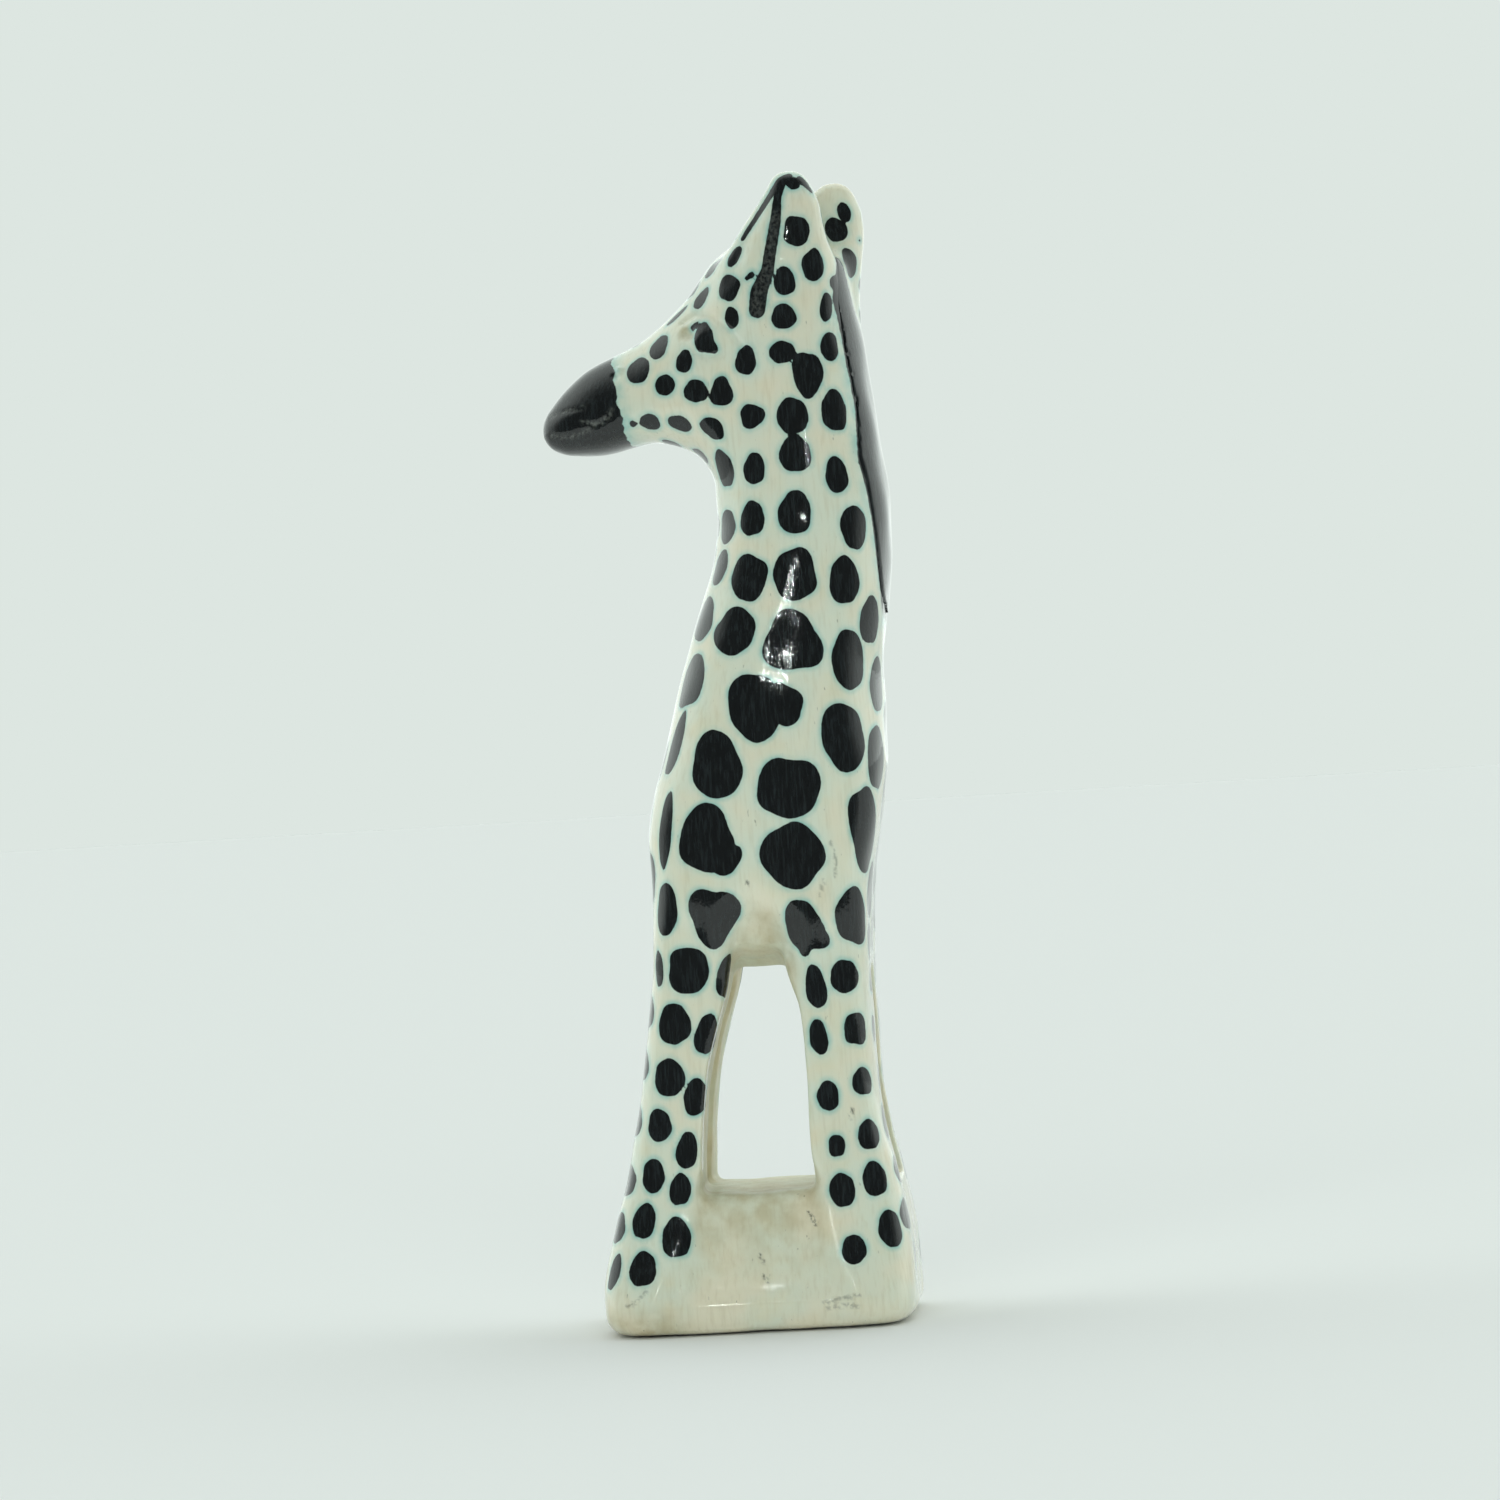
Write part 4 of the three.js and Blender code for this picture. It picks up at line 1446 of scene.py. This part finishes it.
@dataclass
class Figure:
    """The carving's visible pieces."""

    skin: Skin
    material: bpy.types.Material
    close: float = 1e-6
    knee_rise: float = 0.6
    hip_drop: float = 0.4
    ear_rise: float = 1.5
    throat_point: tuple[float, float, float] = (-1.5, 0.0, 113.0)
    throat_outward: tuple[float, float, float] = (-8.0, 0.0, 21.5)
    muzzle_point: tuple[float, float, float] = (-11.4, 3.0, 121.0)
    muzzle_outward: tuple[float, float, float] = (-13.0, 1.8, -1.4)
    muzzle_reach: float = 12.0
    ear_parting: tuple[float, float, float] = (10.0, 0.0, 140.0)

    def regions(self) -> list[Region]:
        """Every region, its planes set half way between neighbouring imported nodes."""
        knee = (high("plinth")[2] + low("fore_leg_left")[2]) / 2 + self.knee_rise
        hip = (high("fore_leg_left")[2] + low("trunk")[2]) / 2 - self.hip_drop
        shoulder = (high("trunk")[2] + low("neck")[2]) / 2
        crown = (high("head")[2] + low("ear_left")[2]) / 2 + self.ear_rise
        between = (high("fore_leg_left")[0] + low("hind_leg_left")[0]) / 2

        def below(height: float) -> Side:
            """The side of a region that stays below a height."""
            return Side((0, 0, height), (0.0, 0.0, 1.0))

        def above(height: float) -> Side:
            """The side of a region that stays above a height."""
            return Side((0, 0, height), (0.0, 0.0, -1.0))

        found = [Region("plinth", Slot.BONE, (below(knee),))]
        for pair, along in (("fore_leg", 1.0), ("hind_leg", -1.0)):
            for hand in Hand:
                parting = Side((between, 0, 0), (along, 0, 0))
                inner = Side((0, 0, 0), (0, -float(hand.value), 0))
                sides = (above(knee), below(hip), parting, inner)
                found.append(Region(f"{pair}_{hand.name.lower()}", Slot.BONE, sides))
        throat = unit(np.array(self.throat_outward))
        muzzle = unit(np.array(self.muzzle_outward))
        neck_top = Side(self.throat_point, tuple(throat))
        chin = Side(self.throat_point, tuple(-throat))
        found.append(Region("trunk", Slot.BONE, (above(hip), below(shoulder))))
        found.append(Region("neck", Slot.BONE, (above(shoulder), neck_top)))
        snout = Side(self.muzzle_point, tuple(muzzle))
        found.append(Region("head", Slot.BONE, (chin, below(crown), snout)))
        behind = Side(self.muzzle_point, tuple(-muzzle))
        under = above(self.muzzle_point[2] - self.muzzle_reach)
        found.append(Region("muzzle", Slot.DYED, (behind, under)))
        turned = np.array((math.sin(math.radians(8)), math.cos(math.radians(8)), 0.0))
        for hand in Hand:
            parting = Side(self.ear_parting, tuple(-float(hand.value) * unit(turned)))
            found.append(Region(f"ear_{hand.name.lower()}", Slot.BONE, (above(crown), parting)))
        return found

    def build(self) -> list[bpy.types.Object]:
        """Makes one closed piece for each region."""
        normals = {f"normal_{axis}": self.skin.normals[:, i] for i, axis in enumerate("xyz")}
        whole = mesh_of("carving", self.skin, {**self.skin.paint, **normals})
        made = [self.piece(whole, region) for region in self.regions()]
        bpy.data.meshes.remove(whole)
        return made

    def piece(self, whole: bpy.types.Mesh, region: Region) -> bpy.types.Object:
        """Cuts one region from the whole skin and closes it.

        Args:
            whole: The mesh of the whole skin.
            region: Which part of it to keep.

        Returns:
            The piece, dressed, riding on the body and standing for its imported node.
        """
        work = bmesh.new()
        work.from_mesh(whole)
        for side in region.sides:
            bmesh.ops.bisect_plane(
                work,
                geom=[*work.verts, *work.edges, *work.faces],
                dist=self.close,
                plane_co=Vector(side.point) * MM,
                plane_no=Vector(side.outward),
                clear_outer=True,
            )
        mark = work.faces.layers.int.new("cap")
        open_edges = [edge for edge in work.edges if edge.is_boundary]
        caps = bmesh.ops.holes_fill(work, edges=open_edges, sides=0)["faces"]
        for face in caps:
            face[mark] = 1
        bmesh.ops.triangulate(work, faces=caps)
        mesh = bpy.data.meshes.new(region.name)
        work.to_mesh(mesh)
        work.free()
        self.smooth(mesh)
        return stand_for(region.name, mesh, self.material)

    @staticmethod
    def smooth(mesh: bpy.types.Mesh) -> None:
        """Shades the carved faces by the skin's own normals and the hidden cut faces flat."""
        count = len(mesh.vertices)
        normals = np.empty((count, 3), np.float32)
        for i, axis in enumerate("xyz"):
            values = np.empty(count, np.float32)
            mesh.attributes[f"normal_{axis}"].data.foreach_get("value", values)
            normals[:, i] = values
        loops = np.empty(len(mesh.loops), np.int32)
        mesh.loops.foreach_get("vertex_index", loops)
        totals = np.empty(len(mesh.polygons), np.int32)
        mesh.polygons.foreach_get("loop_total", totals)
        flat = np.empty(len(mesh.polygons) * 3, np.float32)
        mesh.polygons.foreach_get("normal", flat)
        cap = np.empty(len(mesh.polygons), np.int32)
        mesh.attributes["cap"].data.foreach_get("value", cap)
        corner = unit(normals[loops])
        face_of = np.repeat(np.arange(len(mesh.polygons)), totals)
        on_cap = cap[face_of] == 1
        corner[on_cap] = flat.reshape(-1, 3)[face_of[on_cap]]
        mesh.polygons.foreach_set("use_smooth", np.ones(len(mesh.polygons), bool))
        mesh.normals_split_custom_set(corner)
        for name in ("normal_x", "normal_y", "normal_z", "cap"):
            mesh.attributes.remove(mesh.attributes[name])


@dataclass
class Ridge:
    """The mane's visible piece."""

    carving: Carving
    mesher: Mesher
    material: bpy.types.Material
    deepest_dye: float = -0.3

    def build(self) -> bpy.types.Object:
        """Makes the ridge as one closed piece."""
        ridge = Mane()
        lowest = np.array((12.0, -9.0, ridge.low - 1))
        highest = np.array((24.0, 9.0, ridge.high + 1))
        skin = self.mesher.skin(lambda x, y, z: self.carving.mane_field(x, y, z, ridge), lowest, highest)
        x, y = self.carving.straightened(*skin.points.T)
        inside = ridge.inside(x, y, skin.points[:, 2])
        paint = {name: 0.0 * x for name in PAINTED}
        paint["dye_mm"] = np.minimum(inside, self.deepest_dye)
        mesh = mesh_of("mane", skin, paint)
        mesh.polygons.foreach_set("use_smooth", np.ones(len(mesh.polygons), bool))
        return stand_for("mane", mesh, self.material)


# Floor, light and camera.


@dataclass(frozen=True)
class Studio:
    """A pale floor under an even pale sky, with two far lamps at the front.

    The soft lamp lights the figure and the bare one only glints in its lacquer.
    """

    sky: str = "#dde6e1"
    light: str = "#f5fffa"
    floor_albedo: float = 0.832
    floor_half: float = 6.0
    floor_front: float = 0.32
    sky_front: float = 0.1
    sky_sides: float = 1.3
    soft_strength: float = 1.3
    bare_strength: float = 0.045
    lamp_elevation: float = 14.0

    def build(self) -> None:
        """Makes the floor, the sky and the lamps."""
        self.floor()
        self.world()
        self.lamp("soft_lamp", azimuth=-2, strength=self.soft_strength, spread=50, glossy=False)
        self.lamp("bare_lamp", azimuth=-4.8, strength=self.bare_strength, spread=0.3, diffuse=False)

    def floor(self) -> None:
        """A wide flat floor of matt paper."""
        mesh = bpy.data.meshes.new("floor")
        size, front = self.floor_half, -self.floor_front
        corners = [(-size, front, 0), (size, front, 0), (size, size, 0), (-size, size, 0)]
        mesh.from_pydata(corners, [], [(0, 1, 2, 3)])
        floor = bpy.data.objects.new("floor", mesh)
        bpy.context.collection.objects.link(floor)
        material = bpy.data.materials.new("matt_paper")
        material.use_nodes = True
        shader = material.node_tree.nodes["Principled BSDF"]
        shader.inputs["Base Color"].default_value = (*[self.floor_albedo] * 3, 1)
        shader.inputs["Roughness"].default_value = 1.0
        shader.inputs["Specular IOR Level"].default_value = 0.0
        mesh.materials.append(material)

    def world(self) -> None:
        """A pale sky that is dimmer towards the viewer's side, as a room behind a camera is."""
        world = bpy.data.worlds.new("studio")
        bpy.context.scene.world = world
        world.use_nodes = True
        tree = world.node_tree
        tree.nodes.clear()
        add = partial(add_node, tree)
        parts = add("SeparateXYZ", {"Vector": add("TexCoord", {}, "Generated")}, "Y")
        rise = dict(enumerate((parts, -0.5, 0.1, self.sky_front, self.sky_sides)))
        strength = add("MapRange", rise, interpolation_type="SMOOTHSTEP")
        lit = add("Background", {"Color": self.light, "Strength": strength})
        shown = add("Background", {"Color": self.sky, "Strength": 1.0})
        seen = add("LightPath", {}, "Is Camera Ray")
        add("OutputWorld", {"Surface": add("MixShader", {0: seen, 1: lit, 2: shown})})

    def lamp(
        self,
        name: str,
        azimuth: float,
        strength: float,
        spread: float,
        diffuse: bool = True,
        glossy: bool = True,
    ) -> None:
        """Makes a far lamp.

        Args:
            name: The lamp's name.
            azimuth: Where it stands, in degrees from the front of the view.
            strength: Its light on a surface that faces it.
            spread: How wide it looks from the figure, in degrees.
            diffuse: Whether it lights matt surfaces.
            glossy: Whether it is seen in the lacquer.
        """
        data = bpy.data.lights.new(name, "SUN")
        data.energy = strength
        data.color = linear(self.light)[:3]
        data.angle = math.radians(spread)
        lamp = bpy.data.objects.new(name, data)
        bpy.context.collection.objects.link(lamp)
        lamp.visible_diffuse, lamp.visible_glossy = diffuse, glossy
        a, e = math.radians(azimuth), math.radians(self.lamp_elevation)
        towards = Vector((math.sin(a) * math.cos(e), -math.cos(a) * math.cos(e), math.sin(e)))
        lamp.location = towards
        lamp.rotation_mode = "QUATERNION"
        lamp.rotation_quaternion = towards.to_track_quat("Z", "Y")


@dataclass(frozen=True)
class ViewCamera:
    """The camera that looks at the figure's left side."""

    view: SideView
    frame_shift: float = -0.0007

    def build(self) -> None:
        """Makes the camera and gives it to the scene."""
        data = bpy.data.cameras.new("camera")
        data.sensor_width = self.view.sensor
        data.lens = self.view.sensor * self.view.distance / self.view.frame_height
        data.shift_y = self.frame_shift
        data.clip_start = 0.05
        data.clip_end = 50
        camera = bpy.data.objects.new("camera", data)
        bpy.context.collection.objects.link(camera)
        right, back = Vector(self.view.right), Vector(self.view.towards)
        up = Vector((0, 0, 1))
        cos, sin = math.cos(self.view.roll), math.sin(self.view.roll)
        rolled_right, rolled_up = right * cos + up * sin, up * cos - right * sin
        turn = Matrix((rolled_right, rolled_up, back)).transposed()
        where = (Vector(self.view.target) + back * self.view.distance) * MM
        camera.matrix_world = Matrix.Translation(where) @ turn.to_4x4()
        bpy.context.scene.camera = camera


def main() -> None:
    """Builds the figure, its finishes, the studio and the camera, in that order."""
    carving = Carving()
    view = SideView()
    mesher = Mesher()
    lowest = np.array(CAD_BOUNDS[0]) / MM - 1.5
    highest = np.array(CAD_BOUNDS[1]) / MM + 1.5
    skin = mesher.skin(carving.field, lowest, highest)
    log.info("skin: %d points", len(skin.points))
    Gouge(Locator(carving, view, skin)).work()
    Dyer(Locator(carving, view, skin)).paint()
    pieces = Figure(skin, LacqueredBone().make()).build()
    pieces.append(Ridge(carving, mesher, DyedRidge().make()).build())
    Studio().build()
    ViewCamera(view).build()
    bpy.context.scene.view_settings.view_transform = "Standard"
    log.info("%d pieces", len(pieces))


if __name__ == "__main__":
    logging.basicConfig(level=logging.INFO, format="%(message)s")
    main()
